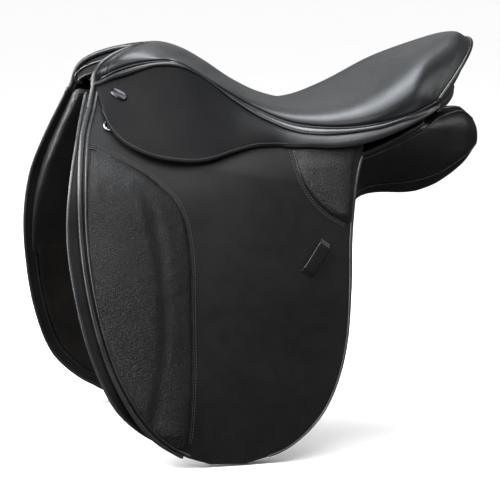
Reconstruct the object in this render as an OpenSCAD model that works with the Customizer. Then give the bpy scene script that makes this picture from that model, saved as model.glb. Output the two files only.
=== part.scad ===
// English riding saddle with lifting flaps and skirts, stirrup bars and girth straps.
// X runs from pommel to cantle, Y to the horse's right, Z up. Millimetres.

/* [Leather] */
// Thickness of the seat cover and skirts
skirt_leather = 3; // [2:0.5:3.5]
// Thickness of the saddle flaps
flap_leather = 4; // [3:0.5:4.5]
// Thickness of the sweat flaps
sweat_leather = 3; // [2:0.5:3.5]
// Radius of the piping along seams and flap edges
piping = 2; // [1.5:0.5:2.5]

/* [Seat] */
// Foam depth where the seat is flattest
foam_base = 6; // [5:1:9]
// Thickness of the tree shell
tree_wall = 6; // [5:0.5:7]
// Radius of the plain crown studs
stud_radius = 5; // [4:0.5:6]

/* [Pads] */
// Height of the knee block over the flap
block_height = 13; // [8:1:16]
// Height of the thigh pad over the flap
thigh_height = 7; // [4:1:9]
// Half width of the channel between the panels
channel_half = 34; // [30:1:38]

/* [Bars and rings] */
// Radius of the stirrup bar rod
bar_radius = 3; // [2.5:0.25:3.5]
// Length of the hinged safety catch
catch_length = 12; // [10:1:13]
// Wire radius of the front dee rings
ring_wire = 1.25; // [1:0.25:1.5]
// Middle radius of the front dee rings
ring_radius = 6; // [5:0.25:6.5]

/* [Girth straps] */
// Width of one girth strap
strap_width = 26; // [24:1:28]
// Thickness of one girth strap
strap_thick = 4; // [3:0.5:4.5]
// Distance between strap centres
strap_pitch = 34; // [32:1:36]
// Radius of the strap holes
hole_radius = 2.5; // [2:0.5:3]
// Width of the stirrup leather keeper opening
keeper_gap = 32; // [28:1:34]

/* [Hidden] */
$fn = 48;
black = [0.10, 0.10, 0.11];
grain = [0.17, 0.17, 0.18];
steel = [0.75, 0.76, 0.78];
lin = [0.62, 0.55, 0.42];

// ---- curves through a few round stations ----
function ss(t) = let(q = min(max(t, 0), 1)) q * q * (3 - 2 * q);
function mix(a, b, t) = a + (b - a) * t;
function at(k, x, i = 0) = (i >= len(k) - 2 || x < k[i + 1][0]) ? i : at(k, x, i + 1);
function grad(k, i, c) = let(a = max(i - 1, 0), b = min(i + 1, len(k) - 1))
    (k[b][c] - k[a][c]) / (k[b][0] - k[a][0]);
function sm(k, x0, c) = let(x = min(max(x0, k[0][0]), k[len(k) - 1][0]), i = at(k, x),
    h = k[i + 1][0] - k[i][0], t = (x - k[i][0]) / h, t2 = t * t, t3 = t2 * t)
    (2 * t3 - 3 * t2 + 1) * k[i][c] + (t3 - 2 * t2 + t) * h * grad(k, i, c)
    + (3 * t2 - 2 * t3) * k[i + 1][c] + (t3 - t2) * h * grad(k, i + 1, c);

// seat stations: place along, centre x and z, seam x, half width and z
seat = [[0, -128, 152, -191, 50, 117], [0.07, -108, 156, -165, 58, 131], [0.15, -82, 149, -134, 62, 138],
    [0.23, -55, 134, -104, 66, 137], [0.32, -25, 114, -66, 75, 115], [0.41, 8, 98, -28, 87, 91],
    [0.5, 45, 90, 14, 110, 72], [0.6, 88, 95, 62, 128, 67], [0.7, 130, 113, 106, 136, 71],
    [0.8, 172, 138, 146, 131, 80], [0.9, 218, 157, 170, 122, 88], [0.97, 248, 163, 180, 117, 92],
    [1, 262, 156, 184, 114, 94]];
// half width of the flap plane by height: at the front edge and at the rear
side = [[-290, 188, 188], [-217, 174, 180], [-172, 162, 174], [-108, 147, 165], [-50, 132, 154],
    [0, 119, 143], [44, 95, 131], [75, 74, 120], [100, 58, 110], [130, 46, 90]];
// flap outline by place down the edge: front x, z, rear x, z
flap_o = [[0, -199, 88, 92, 37], [0.1, -212, 55, 84, 15], [0.22, -221, 5, 77, -15],
    [0.35, -223, -50, 71, -55], [0.5, -218, -110, 67, -110], [0.65, -205, -170, 60, -168],
    [0.78, -186, -217, 44, -217], [0.88, -160, -254, 20, -252], [0.95, -130, -276, -15, -277],
    [1, -100, -287, -60, -289]];
sweat_o = [[0, -201, 102, 76, 14], [0.1, -216, 60, 70, 0], [0.22, -232, 5, 64, -25],
    [0.35, -238, -50, 57, -60], [0.5, -233, -110, 50, -110], [0.65, -221, -168, 42, -165],
    [0.78, -200, -220, 26, -212], [0.88, -172, -250, 2, -243], [0.95, -140, -268, -30, -265],
    [1, -105, -276, -65, -277]];
// hinge line of flap and skirt
hinge_a = [-200, 70, 92];
hinge_b = [95, 156, 32];
function hz(x) = mix(hinge_a[2], hinge_b[2], (x + 200) / 295);
function hw(x) = mix(hinge_a[1], hinge_b[1], (x + 200) / 295);

function flap_top(x) = hz(x) - 4.5 + 9 * ss((x - 5) / 85);
function w_side(x, z) = mix(sm(side, z, 1), sm(side, z, 2), ss((x + 210) / 200));
function w_flap(x, z) = let(zt = hz(x) - 5)
    w_side(x, z) + min(0, hw(x) - 3.5 - w_side(x, zt)) * (1 - ss((zt - z) / 40));
function w_sweat(x, z) = w_flap(x, z) - flap_leather - 3 - 19.5 * ss((x + 215) / 110);
function bulge(x, z) = 9.8 * exp(-pow((x + 130) / 66, 2)) * ss((hz(x) - z) / 16);
function w_skirt(x, z) = w_flap(x, z) + 0.9 + skirt_leather + bulge(x, z);

function seat_p(u, v, d = 0, s = 0, e = 0) = let(b = sin(90 * abs(v)), k = mix(0.3, 1, u),
    ax = (sqrt(b * b + k * k) - k) / (sqrt(1 + k * k) - k), c = 1 - cos(90 * v),
    ar = (sqrt(b * b + 1) - 1) / (sqrt(2) - 1), az = mix(c, ar, ss((u - 0.8) / 0.2)))
    [mix(sm(seat, u, 1), sm(seat, u, 3), ax), sign(v) * (sm(seat, u, 4) - s) * b,
     mix(sm(seat, u, 2) - d, sm(seat, u, 5) - e, az)];
function foam(u) = foam_base + 0.2 * (sm(seat, u, 2) - sm(seat, u, 5));

// ---- solids from grids and rings of points ----
function q(p, r, s, t) = [[p, r, s], [p, s, t]];
module loft(p, q0) {
    n = len(p);
    m = len(p[0]);
    o = n * m;
    i0 = floor((n - 1) / 2);
    j0 = floor((m - 1) / 2);
    out = cross(p[i0][j0 + 1] - p[i0][j0], p[i0 + 1][j0] - p[i0][j0]) * (p[i0][j0] - q0[i0][j0]) > 0;
    a = out ? p : q0;
    b = out ? q0 : p;
    polyhedron(concat([for (r = a) each r], [for (r = b) each r]), concat(
        [for (i = [0:n - 2], j = [0:m - 2]) each
            q(i * m + j, (i + 1) * m + j, (i + 1) * m + j + 1, i * m + j + 1)],
        [for (i = [0:n - 2], j = [0:m - 2]) each
            q(o + i * m + j, o + i * m + j + 1, o + (i + 1) * m + j + 1, o + (i + 1) * m + j)],
        [for (i = [0:n - 2]) each q(i * m, o + i * m, o + (i + 1) * m, (i + 1) * m)],
        [for (i = [0:n - 2]) each
            q(i * m + m - 1, (i + 1) * m + m - 1, o + (i + 1) * m + m - 1, o + i * m + m - 1)],
        [for (j = [0:m - 2]) each q(j, j + 1, o + j + 1, o + j)],
        [for (j = [0:m - 2]) each
            q((n - 1) * m + j, o + (n - 1) * m + j, o + (n - 1) * m + j + 1, (n - 1) * m + j + 1)]),
        convexity = 8);
}
function unit(v) = v / norm(v);
module tube(p, r, k = 6) {
    n = len(p);
    rings = [for (i = [0:n - 1]) let(d = unit(p[min(i + 1, n - 1)] - p[max(i - 1, 0)]),
        a = unit(cross(d, abs(d[1]) > 0.8 ? [0, 0, 1] : [0, 1, 0])), b = cross(d, a))
        for (j = [0:k - 1]) p[i] + r * (cos(360 * j / k) * a + sin(360 * j / k) * b)];
    polyhedron(rings, concat([[for (j = [0:k - 1]) j]],
        [for (i = [0:n - 2], j = [0:k - 1]) let(a = i * k, b = (j + 1) % k)
            each [[a + j, a + k + b, a + b], [a + j, a + k + j, a + k + b]]],
        [[for (j = [0:k - 1]) (n - 1) * k + k - 1 - j]]), convexity = 8);
}
module both(right) { if (right) mirror([0, 1, 0]) children(); else children(); }
function lp(x, w, z) = [x, -w, z];

// ---- tree and seat ----
// a layer lies between two depths, each [share of the foam, depth, side inset, edge drop]
function layer_g(u0, u1, nu, v0, v1, nv, k) = [for (j = [0:nv]) [for (i = [0:nu])
    let(u = mix(u0, u1, i / nu)) seat_p(u, mix(v0, v1, j / nv), k[0] * foam(u) + k[1], k[2], k[3])]];
module layer(u0, u1, nu, v0, v1, nv, a, b)
    loft(layer_g(u0, u1, nu, v0, v1, nv, a), layer_g(u0, u1, nu, v0, v1, nv, b));
module seat_cover() color(black) layer(0, 1, 26, -1, 1, 16, [0, 0, 0, 0], [0, skirt_leather, skirt_leather, 0]);
module seat_foam() color(lin)
    layer(0.02, 0.965, 24, -1, 1, 12, [0, skirt_leather + 2.9, skirt_leather + 3.1, 1], [1, 0, 10, 4]);
module web_strip(v0, v1) color(lin) layer(0.06, 0.94, 22, v0, v1, 2, [1, 0.6, 10.6, 4.6], [1, 1.6, 11.6, 5.6]);
module left_straining_web() web_strip(-0.5, -1 / 6);
module right_straining_web() web_strip(1 / 6, 0.5);
module tree() color([0.30, 0.24, 0.18]) layer(0.03, 0.97, 24, -1, 1, 12,
    [1, 2.4, 12.4, 6.4], [1, 2.4 + tree_wall, 12.4 + tree_wall, 6.4 + tree_wall]);
module head_plate() color(steel) layer(0.0375, 0.15, 6, -5 / 6, 5 / 6, 10,
    [1, 3.4 + tree_wall, 13.4 + tree_wall, 7.4 + tree_wall], [1, 6 + tree_wall, 16 + tree_wall, 10 + tree_wall]);
module gullet_plate() color(steel) layer(0.045, 0.13, 5, -4 / 6, 4 / 6, 8,
    [1, 6.8 + tree_wall, 16.8 + tree_wall, 10.8 + tree_wall], [1, 9 + tree_wall, 19 + tree_wall, 13 + tree_wall]);
module seat_welt(right) color(black) both(right) tube([for (i = [0:36]) let(u = i / 36)
    lp(sm(seat, u, 3), sm(seat, u, 4) - 1, sm(seat, u, 5) - piping - 0.7)], piping);
module left_seat_welt() seat_welt(false);
module right_seat_welt() seat_welt(true);
module cantle_binding() color(black) tube([for (i = [-16:16]) let(p = seat_p(1, i / 16 * 0.97))
    [p[0] + piping + 0.4, p[1], p[2] - 1]], piping);
module pommel_binding() color(black) tube([for (i = [-7:7]) let(v = i / 8, p = seat_p(0, v),
    t = unit(seat_p(0, v + 0.03) - seat_p(0, v - 0.03)), d = p - seat_p(0.03, v))
    p + (piping + 0.9) * unit(d - (d * t) * t)], piping);
function front_g(u) = [for (k = [0:3]) [for (i = [-12:12])
    seat_p(u, i / 12 * 0.97, mix(3.9, 25, k / 3), mix(3.9, 17, k / 3), mix(0.8, 6, k / 3))]];
module pommel_facing() color(black) loft(front_g(0.001), front_g(0.009));
module cantle_facing() color(black) loft(
    [for (j = [0:3]) [for (i = [-12:12]) facing(i / 12, j / 3, 0)]],
    [for (j = [0:3]) [for (i = [-12:12]) facing(i / 12, j / 3, 3)]]);
function facing(v, q, dp) = let(p = seat_p(1, v * 0.86), b = abs(p[1]) / 114)
    [p[0] - 1 - 22 * q * (1 - b * b) - dp, p[1] * (1 - 0.04 * q), p[2] - 4.4 - (47 - 41 * b * b) * q];

// ---- skirts ----
// stations: seat place, welt x, half width, z, lower edge x, half width (0 on the hinge line), z
border = [[0, -192, 53, 112, -190.5, 0, 0], [0.085, -161, 61, 120, -165, 0, 0],
    [0.152, -130, 67, 130, -135, 0, 0], [0.224, -100, 72, 129, -105, 0, 0],
    [0.285, -74, 78, 116, -78, 0, 0], [0.338, -45, 88, 93, -50, 0, 0],
    [0.397, -20, 101, 76, -22, 0, 0], [0.448, 2, 114, 65, 4, 0, 0], [0.48, 13, 121, 61, 14, 134, 45],
    [0.525, 28, 128, 58, 28, 136, 45], [0.592, 57, 134, 57, 56, 139, 44], [0.668, 92, 140, 61, 90, 142, 48],
    [0.76, 130, 138, 70, 129, 140, 60], [0.845, 160, 127, 79, 165, 130, 74], [1, 184, 112, 87, 187, 116, 84]];
function edge_row(k) = let(s = [sm(seat, k[0], 3), sm(seat, k[0], 4) - 0.6, sm(seat, k[0], 5) - 2 * piping - 2.2],
    t = [k[1], k[2], k[3]], m = k[5] == 0 ? [k[4], w_skirt(k[4], hz(k[4])), hz(k[4])] : [k[4], k[5], k[6]],
    h = (t + m) / 2 - [0, 0.06 * norm(t - m), 0])
    [for (p = [s, t, (t + h) / 2 - [0, 0.6, 0], h, m]) lp(p[0], p[1], p[2])];
module skirt_border(right) color(black) both(right) {
    rows = [for (i = [0:len(border) * 2 - 2]) let(a = border[floor(i / 2)],
        b = border[min(floor(i / 2) + i % 2, len(border) - 1)])
        i % 2 == 0 ? edge_row(a) : (edge_row(a) + edge_row(b)) / 2];
    loft([for (r = rows) [for (j = [0:4]) r[j] + skirt_leather * [0, mix(0.8, 1, j / 4), mix(-0.6, 0.1, j / 4)]]],
        rows);
}
module left_skirt_border() skirt_border(false);
module right_skirt_border() skirt_border(true);
// moving skirt stations: hinge line x, edge x, edge z
drop = [[-189, -188.5, 82], [-180, -186, 72], [-170, -180, 60], [-155, -167, 48], [-135, -143, 37],
    [-110, -112, 32], [-85, -85, 33], [-60, -56, 40], [-35, -32, 45], [-12, -12, 46], [3, 3, 45.5]];
module skirt(right) color(black) both(right) {
    g = [for (k = drop) [for (j = [0:4]) let(x = mix(k[0], k[1], j / 4), z = mix(hz(k[0]) - 1.2, k[2], j / 4))
        lp(x, w_skirt(x, z), z)]];
    loft([for (r = g) [for (p = r) p + [0, skirt_leather, 0]]], g);
}
module left_skirt() skirt(false);
module right_skirt() skirt(true);
module crown_stud(right) color(steel) both(right) translate([-168, -72.2, 101])
    rotate([0, -25, 0]) rotate([66, 0, 0]) {
        hull() { translate([-4, 0, 0]) cylinder(h = 1.6, r = stud_radius);
            translate([4, 0, 0]) cylinder(h = 1.6, r = stud_radius); }
        translate([0, 0, 1.6]) cylinder(h = 1.4, r1 = stud_radius, r2 = 2);
    }
module left_crown_stud() crown_stud(false);
module right_crown_stud() crown_stud(true);

// ---- tree points and stirrup bars ----
function point_g(dp, g = 0) = [for (i = [0:6]) [for (j = [0:2]) let(z = mix(96, 8, i / 6),
    x = -136 + (j - 1) * (mix(17, 10, i / 6) + g)) lp(x, w_flap(x, z) - dp, z - (i == 6 ? g : 0))]];
module tree_point(right) color([0.30, 0.24, 0.18]) both(right) loft(point_g(17), point_g(11));
module left_tree_point() tree_point(false);
module right_tree_point() tree_point(true);
module point_pocket(right) color(black) both(right) loft(
    [for (i = [0:3]) [for (j = [0:2]) let(z = mix(30, -4, i / 3), x = -136 + (j - 1) * 19)
        lp(x, w_flap(x, z) - 10.8, z)]],
    [for (i = [0:3]) [for (j = [0:2]) let(z = mix(30, -4, i / 3), x = -136 + (j - 1) * 19)
        lp(x, w_flap(x, z) - 9, z)]]);
module left_point_pocket() point_pocket(false);
module right_point_pocket() point_pocket(true);
module bar_frame(right) both(right) translate([-150, -97, 52]) children();
module stirrup_bar(right) color(steel) bar_frame(right) {
    translate([-4, 7.5, -6]) cube([78, 2.5, 22]);
    for (x = [8, 20]) translate([x, 7.5, 8]) rotate([-90, 0, 0]) cylinder(h = 10, r = 2.2);
    translate([-4, 0, -bar_radius]) cube([7, 7.6, 2 * bar_radius]);
    rotate([0, 90, 0]) cylinder(h = 58, r = bar_radius);
    translate([56, -3, -bar_radius]) cube([9.5, 1.2, 2 * bar_radius]);
    translate([56, 1.8, -bar_radius]) cube([9.5, 1.2, 2 * bar_radius]);
    translate([62.5, -3, 0]) rotate([-90, 0, 0]) cylinder(h = 6, r = 1.2);
}
module left_stirrup_bar() stirrup_bar(false);
module right_stirrup_bar() stirrup_bar(true);
module bar_catch(right) color(steel) bar_frame(right) difference() {
    hull() {
        translate([62.5, -1.6, 0]) rotate([-90, 0, 0]) cylinder(h = 3.2, r = 3);
        translate([62.5 + catch_length - 3, -1.6, 0.5]) rotate([-90, 0, 0]) cylinder(h = 3.2, r = 2.5);
    }
    translate([62.5, -3, 0]) rotate([-90, 0, 0]) cylinder(h = 6, r = 1.25);
}
module left_bar_catch() bar_catch(false);
module right_bar_catch() bar_catch(true);

// ---- flaps ----
function scoop(x) = ss((x + 170) / 15) * (1 - ss((x + 70) / 15)) * mix(38, 26, (x + 150) / 75);
function flap_xz(s, t) = let(x = mix(sm(flap_o, t, 1), sm(flap_o, t, 3), s),
    z = mix(sm(flap_o, t, 2), sm(flap_o, t, 4), s), top = mix(flap_o[0][2], flap_o[0][4],
    (x - flap_o[0][1]) / (flap_o[0][3] - flap_o[0][1])))
    [x, z - max(0, 1 - t / 0.16) * (scoop(x) + top - flap_top(x))];
flap_t = [0, 0.03, 0.06, 0.09, 0.12, 0.16, 0.22, 0.3, 0.38, 0.46, 0.54, 0.62, 0.7, 0.77, 0.83, 0.88, 0.92, 0.955, 0.98, 1];
module flap(right) color(black) both(right) {
    g = [for (t = flap_t) [for (i = [0:20]) let(q = flap_xz(i / 20, t)) lp(q[0], w_flap(q[0], q[1]), q[1])]];
    loft(g, [for (r = g) [for (p = r) p + [0, flap_leather, 0]]]);
}
module left_flap() flap(false);
module right_flap() flap(true);
module flap_piping(right) color(black) both(right) tube([for (i = [0:30]) let(t = 0.03 + i / 30 * 0.89,
    x = sm(flap_o, t, 1) - piping - 1.2 - 1.4 * ss((t - 0.7) / 0.2), z = sm(flap_o, t, 2)) lp(x, w_flap(x, z) - 1, z)], piping);
module left_flap_piping() flap_piping(false);
module right_flap_piping() flap_piping(true);
// knee block by height: front x, rear x
knee = [[-270, -134, -127], [-255, -154, -123], [-224, -178, -119], [-178, -199, -115],
    [-121, -212, -113], [-74, -217, -111], [-37, -218, -114], [-12, -217, -122], [4, -216, -136],
    [23, -212, -159], [36, -208, -182], [43, -206, -199]];
function knee_h(s, z) = 1.2 + block_height * pow(max(0, 4 * s * (1 - s)), 0.6)
        * ss((44 - z) / 40) * mix(1, 0.45, ss((-60 - z) / 200)) * (1 - 0.28 * exp(-pow((s - 0.72) / 0.05, 2)));
module knee_block(right) color(grain) both(right) {
    g = [for (i = [0:16]) [for (j = [0:12]) let(z = mix(43, -268, i / 16), s = j / 12,
        x = mix(sm(knee, z, 1), sm(knee, z, 2), s)) lp(x, w_flap(x, z) + 0.7, z)]];
    loft([for (i = [0:16]) [for (j = [0:12]) g[i][j] - [0, knee_h(j / 12, g[i][j][2]), 0]]], g);
}
module left_knee_block() knee_block(false);
module right_knee_block() knee_block(true);
thigh = [[-37, 65, 68], [-25, 45, 68], [-7, 28, 71], [15, 17, 74], [40, 12, 81]];
module thigh_pad(right) color(grain) both(right) {
    g = [for (i = [0:8]) [for (j = [0:6]) let(z = mix(36, -36, i / 8), s = j / 6,
        x = mix(sm(thigh, z, 1), sm(thigh, z, 2), s)) lp(x, w_flap(x, z) + 0.6, z)]];
    loft([for (i = [0:8]) [for (j = [0:6]) g[i][j] - [0, 1 + thigh_height
        * pow(max(0, sin(180 * j / 6)), 0.7) * ss((45 - g[i][j][2]) / 30), 0]]], g);
}
module left_thigh_pad() thigh_pad(false);
module right_thigh_pad() thigh_pad(true);
module keeper(right) color(black) both(right) translate([27.5, -w_flap(27.5, -73.5) - 1.1, -73.5])
    rotate([-13, 0, -4]) rotate([0, 37, 0]) difference() {
        translate([-6.5, -4.6, -keeper_gap / 2 - 4]) cube([13, 4.6, keeper_gap + 8]);
        translate([-8, -2.8, -keeper_gap / 2]) cube([16, 4, keeper_gap]);
    }
module left_keeper() keeper(false);
module right_keeper() keeper(true);
module dee_frame(right) both(right) translate([-182.5, -w_flap(-182.5, 69.5) - 2.95, 69.5])
    rotate([0, 0, -9]) rotate([-33.5, 0, 0]) rotate([0, 68, 0]) children();
module dee_staple(right) color(steel) dee_frame(right) {
    difference() {
        rotate([0, 90, 0]) cylinder(h = 5, r = ring_wire + 0.95, center = true);
        rotate([0, 90, 0]) cylinder(h = 8, r = ring_wire + 0.2, center = true);
    }
}
module left_dee_staple() dee_staple(false);
module right_dee_staple() dee_staple(true);
module dee_ring(right) color(steel) dee_frame(right) {
    rotate([0, 90, 0]) cylinder(h = 2 * ring_radius, r = ring_wire, center = true, $fn = 32);
    rotate([90, 180, 0]) rotate_extrude(angle = 180, $fn = 48) translate([ring_radius, 0])
        circle(r = ring_wire, $fn = 32);
}
module left_dee_ring() dee_ring(false);
module right_dee_ring() dee_ring(true);

// ---- sweat flaps and panels ----
function sweat_xz(s, t) = let(x = mix(sm(sweat_o, t, 1), sm(sweat_o, t, 3), s),
    z = mix(sm(sweat_o, t, 2), sm(sweat_o, t, 4), s)) [x, z - max(0, 1 - t / 0.25) * 42 * ss((x + 198) / 30)];
module sweat_flap(right) color(black) both(right) {
    g = [for (i = [0:14]) let(t = [0, 0.06, 0.13, 0.2, 0.28, 0.37, 0.46, 0.55, 0.64, 0.73, 0.81, 0.88, 0.94, 0.98, 1][i])
        [for (j = [0:14]) let(q = sweat_xz(j / 14, t)) lp(q[0], w_sweat(q[0], q[1]), q[1])]];
    loft(g, [for (r = g) [for (p = r) p + [0, sweat_leather, 0]]]);
}
module left_sweat_flap() sweat_flap(false);
module right_sweat_flap() sweat_flap(true);
module inner_block(right) color(grain) both(right) {
    g = [for (i = [0:8]) [for (j = [0:4]) let(z = mix(-30, -170, i / 8), x = -150 + 7 * j + 8 * i)
        lp(x, w_sweat(x, z) + 1.2, z)]];
    loft([for (i = [0:8]) [for (j = [0:4]) g[i][j] - [0, 1 + 8 * sin(22.5 * i) * sin(45 * j), 0]]], g);
}
module left_inner_block() inner_block(false);
module right_inner_block() inner_block(true);
// panel by place along: top inside z, top outside z, low z, bearing half width and z, channel foot z,
// gusset half width at top and foot
pan = [[-215, 104, 97, -100, 76, 0, 86, 0, 0], [-170, 98, 50, -100, 72, 8, 74, 0, 0],
    [-120, 78, 34, -90, 78, 4, 48, 0, 0], [-60, 70, 32, -75, 80, -6, 24, 0, 0], [0, 66, 31, -58, 76, -9, 8, 0, 0],
    [60, 64, 30, -45, 74, -12, 3, 112, 106], [100, 70, 36, -15, 66, -13, 3, 118, 100],
    [160, 88, 58, -13, 62, -8, 12, 113, 98], [200, 96, 76, -3, 56, 4, 26, 98, 93],
    [232, 94, 86, 22, 50, 30, 48, 71, 88], [246, 86, 76, 40, 44, 50, 64, 64, 70]];
function px(p, z) = let(x = mix(-215, 246, p)) x
        + (sm([for (i = [9:-1:0]) [sweat_o[i][2], sweat_o[i][1]]], z, 1) + 6 + 215) * (1 - ss(p / 0.2));
function pan_out(p, q) = let(x = mix(-215, 246, p), z = mix(sm(pan, x, 2), sm(pan, x, 3), q), xx = px(p, z),
        g = mix(sm(pan, max(x, 60), 7), sm(pan, max(x, 60), 8), q) + 4 * sin(180 * q))
        lp(xx, mix(w_sweat(xx, z) - sweat_leather - 2, g, ss((x - 62) / 34)), z);
function pan_in(p, q) = let(x = mix(-215, 246, p), d = pan_out(p, 1),
        k = [[0, channel_half, sm(pan, x, 1)], [0.35, channel_half, sm(pan, x, 6)],
            [0.65, sm(pan, x, 4), sm(pan, x, 5)], [1, -d[1] - 3, d[2] + 1]], z = sm(k, q, 2))
        lp(px(p, z), sm(k, q, 1), z);
module panel(right) color(black) both(right) loft(
    [for (i = [0:22]) [for (j = [0:9]) pan_in(i / 22, j / 9)]],
    [for (i = [0:22]) [for (j = [0:9]) pan_out(i / 22, j / 9)]]);
module left_panel() panel(false);
module right_panel() panel(true);
module channel_lining() color(black) loft(
    [for (j = [-2:2]) [for (i = [0:12]) let(x = -100 + 27.5 * i) [x, j * channel_half / 2, sm(pan, x, 1) + 4.5]]],
    [for (j = [-2:2]) [for (i = [0:12]) let(x = -100 + 27.5 * i) [x, j * channel_half / 2, sm(pan, x, 1) + 2]]]);

// ---- girth straps ----
function w_strap(x, z) = w_flap(x, z) - 12 - strap_thick / 2;
module girth_web(right) color(lin) both(right) loft(
    [for (i = [0:4]) [for (j = [0:4]) let(x = -62 + 27.5 * i)
        lp(x, mix(w_strap(x, 50), 66, j / 4), mix(46, 60, j / 4) + 1.5)]],
    [for (i = [0:4]) [for (j = [0:4]) let(x = -62 + 27.5 * i)
        lp(x, mix(w_strap(x, 50), 66, j / 4), mix(46, 60, j / 4))]]);
module left_girth_web() girth_web(false);
module right_girth_web() girth_web(true);
module strap(right, x0) color(black) both(right) difference() {
    loft([for (i = [0:12]) [for (j = [0:2]) let(z = mix(40, -232, i / 12), x = x0 + (j - 1) * strap_width / 2
            * (i == 12 ? 0.5 : 1)) lp(x, w_strap(strap_mid, z), z)]],
        [for (i = [0:12]) [for (j = [0:2]) let(z = mix(40, -232, i / 12), x = x0 + (j - 1) * strap_width / 2
            * (i == 12 ? 0.5 : 1)) lp(x, w_strap(strap_mid, z) - strap_thick, z)]]);
    for (i = [0:6]) translate([x0, -w_strap(strap_mid, -100 - 18 * i) + 12, -100 - 18 * i]) rotate([90, 0, 0])
        cylinder(h = 24, r = hole_radius, $fn = 24);
}
strap_mid = -8;
module left_strap_front() strap(false, strap_mid - strap_pitch);
module left_strap_middle() strap(false, strap_mid);
module left_strap_rear() strap(false, strap_mid + strap_pitch);
module right_strap_front() strap(true, strap_mid - strap_pitch);
module right_strap_middle() strap(true, strap_mid);
module right_strap_rear() strap(true, strap_mid + strap_pitch);
function guard_g(e, o, z0, z1) = [for (i = [0:6]) [for (j = [0:4]) let(z = mix(z0, z1, i / 6),
    x = strap_mid + (j - 2) / 2 * (strap_pitch + strap_width / 2 + e)) lp(x, w_strap(strap_mid, z) + o, z)]];
module buckle_guard(right) color(black) both(right) difference() {
    loft(guard_g(5, 4.6, -20, -105), guard_g(5, -strap_thick - 4.6, -20, -105));
    loft(guard_g(2.5, 2.9, -18, -107), guard_g(2.5, -strap_thick - 2.9, -18, -107));
}
module left_buckle_guard() buckle_guard(false);
module right_buckle_guard() buckle_guard(true);

tree();
head_plate();
gullet_plate();
left_straining_web();
right_straining_web();
seat_foam();
seat_cover();
left_seat_welt();
right_seat_welt();
cantle_binding();
cantle_facing();
pommel_binding();
pommel_facing();
left_skirt_border();
right_skirt_border();
left_skirt();
right_skirt();
left_crown_stud();
right_crown_stud();
left_tree_point();
right_tree_point();
left_point_pocket();
right_point_pocket();
left_stirrup_bar();
right_stirrup_bar();
left_bar_catch();
right_bar_catch();
left_flap();
right_flap();
left_flap_piping();
right_flap_piping();
left_knee_block();
right_knee_block();
left_thigh_pad();
right_thigh_pad();
left_keeper();
right_keeper();
left_dee_staple();
right_dee_staple();
left_dee_ring();
right_dee_ring();
left_sweat_flap();
right_sweat_flap();
left_inner_block();
right_inner_block();
left_panel();
right_panel();
channel_lining();
left_girth_web();
right_girth_web();
left_strap_front();
left_strap_middle();
left_strap_rear();
right_strap_front();
right_strap_middle();
right_strap_rear();
left_buckle_guard();
right_buckle_guard();
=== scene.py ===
"""English riding saddle: leather, padding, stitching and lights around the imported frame.

Shapes are worked out in millimetres, with X from pommel to cantle, Y to the horse's right and Z up,
and scaled to metres when a mesh is made. A left piece is given once and mirrored to the right."""
import math

import bmesh
import bpy
import numpy as np
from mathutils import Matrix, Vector
from mathutils.kdtree import KDTree


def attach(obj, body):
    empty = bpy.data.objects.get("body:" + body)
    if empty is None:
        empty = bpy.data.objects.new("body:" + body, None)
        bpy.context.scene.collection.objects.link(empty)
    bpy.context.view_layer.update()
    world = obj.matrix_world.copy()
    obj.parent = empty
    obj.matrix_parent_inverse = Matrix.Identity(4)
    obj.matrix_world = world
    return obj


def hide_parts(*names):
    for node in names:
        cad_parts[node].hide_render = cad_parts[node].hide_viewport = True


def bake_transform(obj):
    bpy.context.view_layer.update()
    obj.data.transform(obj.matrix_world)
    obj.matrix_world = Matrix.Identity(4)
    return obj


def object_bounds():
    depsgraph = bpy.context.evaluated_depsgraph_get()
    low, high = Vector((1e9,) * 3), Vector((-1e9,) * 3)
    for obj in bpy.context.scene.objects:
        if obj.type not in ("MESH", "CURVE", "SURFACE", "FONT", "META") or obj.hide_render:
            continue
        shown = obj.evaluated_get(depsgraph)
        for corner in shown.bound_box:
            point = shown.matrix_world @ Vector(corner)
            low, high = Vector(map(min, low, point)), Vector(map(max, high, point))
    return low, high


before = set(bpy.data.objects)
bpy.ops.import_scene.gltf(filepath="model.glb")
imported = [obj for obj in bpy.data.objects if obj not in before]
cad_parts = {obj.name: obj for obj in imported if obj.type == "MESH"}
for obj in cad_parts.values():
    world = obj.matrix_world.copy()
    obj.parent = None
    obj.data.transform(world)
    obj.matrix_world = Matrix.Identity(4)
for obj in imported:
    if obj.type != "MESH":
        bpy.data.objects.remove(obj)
cad_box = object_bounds()
SCENE = bpy.context.scene

# ---------------------------------------------------------------- shapes shared with the CAD part
SKIRT, FLAP, SWEAT = 3.0, 4.0, 3.0  # leather thicknesses
CHANNEL = 34.0  # half width between the panels
PANEL_FRONT, PANEL_REAR = -215, 246
CLOTH_FRAMES = 20
seat = np.array([
    [0, -128, 152, -191, 50, 117], [0.07, -108, 156, -165, 58, 131], [0.15, -82, 149, -134, 62, 138],
    [0.23, -55, 134, -104, 66, 137], [0.32, -25, 114, -66, 75, 115], [0.41, 8, 98, -28, 87, 91],
    [0.5, 45, 90, 14, 110, 72], [0.6, 88, 95, 62, 128, 67], [0.7, 130, 113, 106, 136, 71],
    [0.8, 172, 138, 146, 131, 80], [0.9, 218, 157, 170, 122, 88], [0.97, 248, 163, 180, 117, 92],
    [1, 262, 156, 184, 114, 94]], float)
side = np.array([
    [-290, 188, 188], [-217, 174, 180], [-172, 162, 174], [-108, 147, 165], [-50, 132, 154],
    [0, 119, 143], [44, 95, 131], [75, 74, 120], [100, 58, 110], [130, 46, 90]], float)
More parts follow.
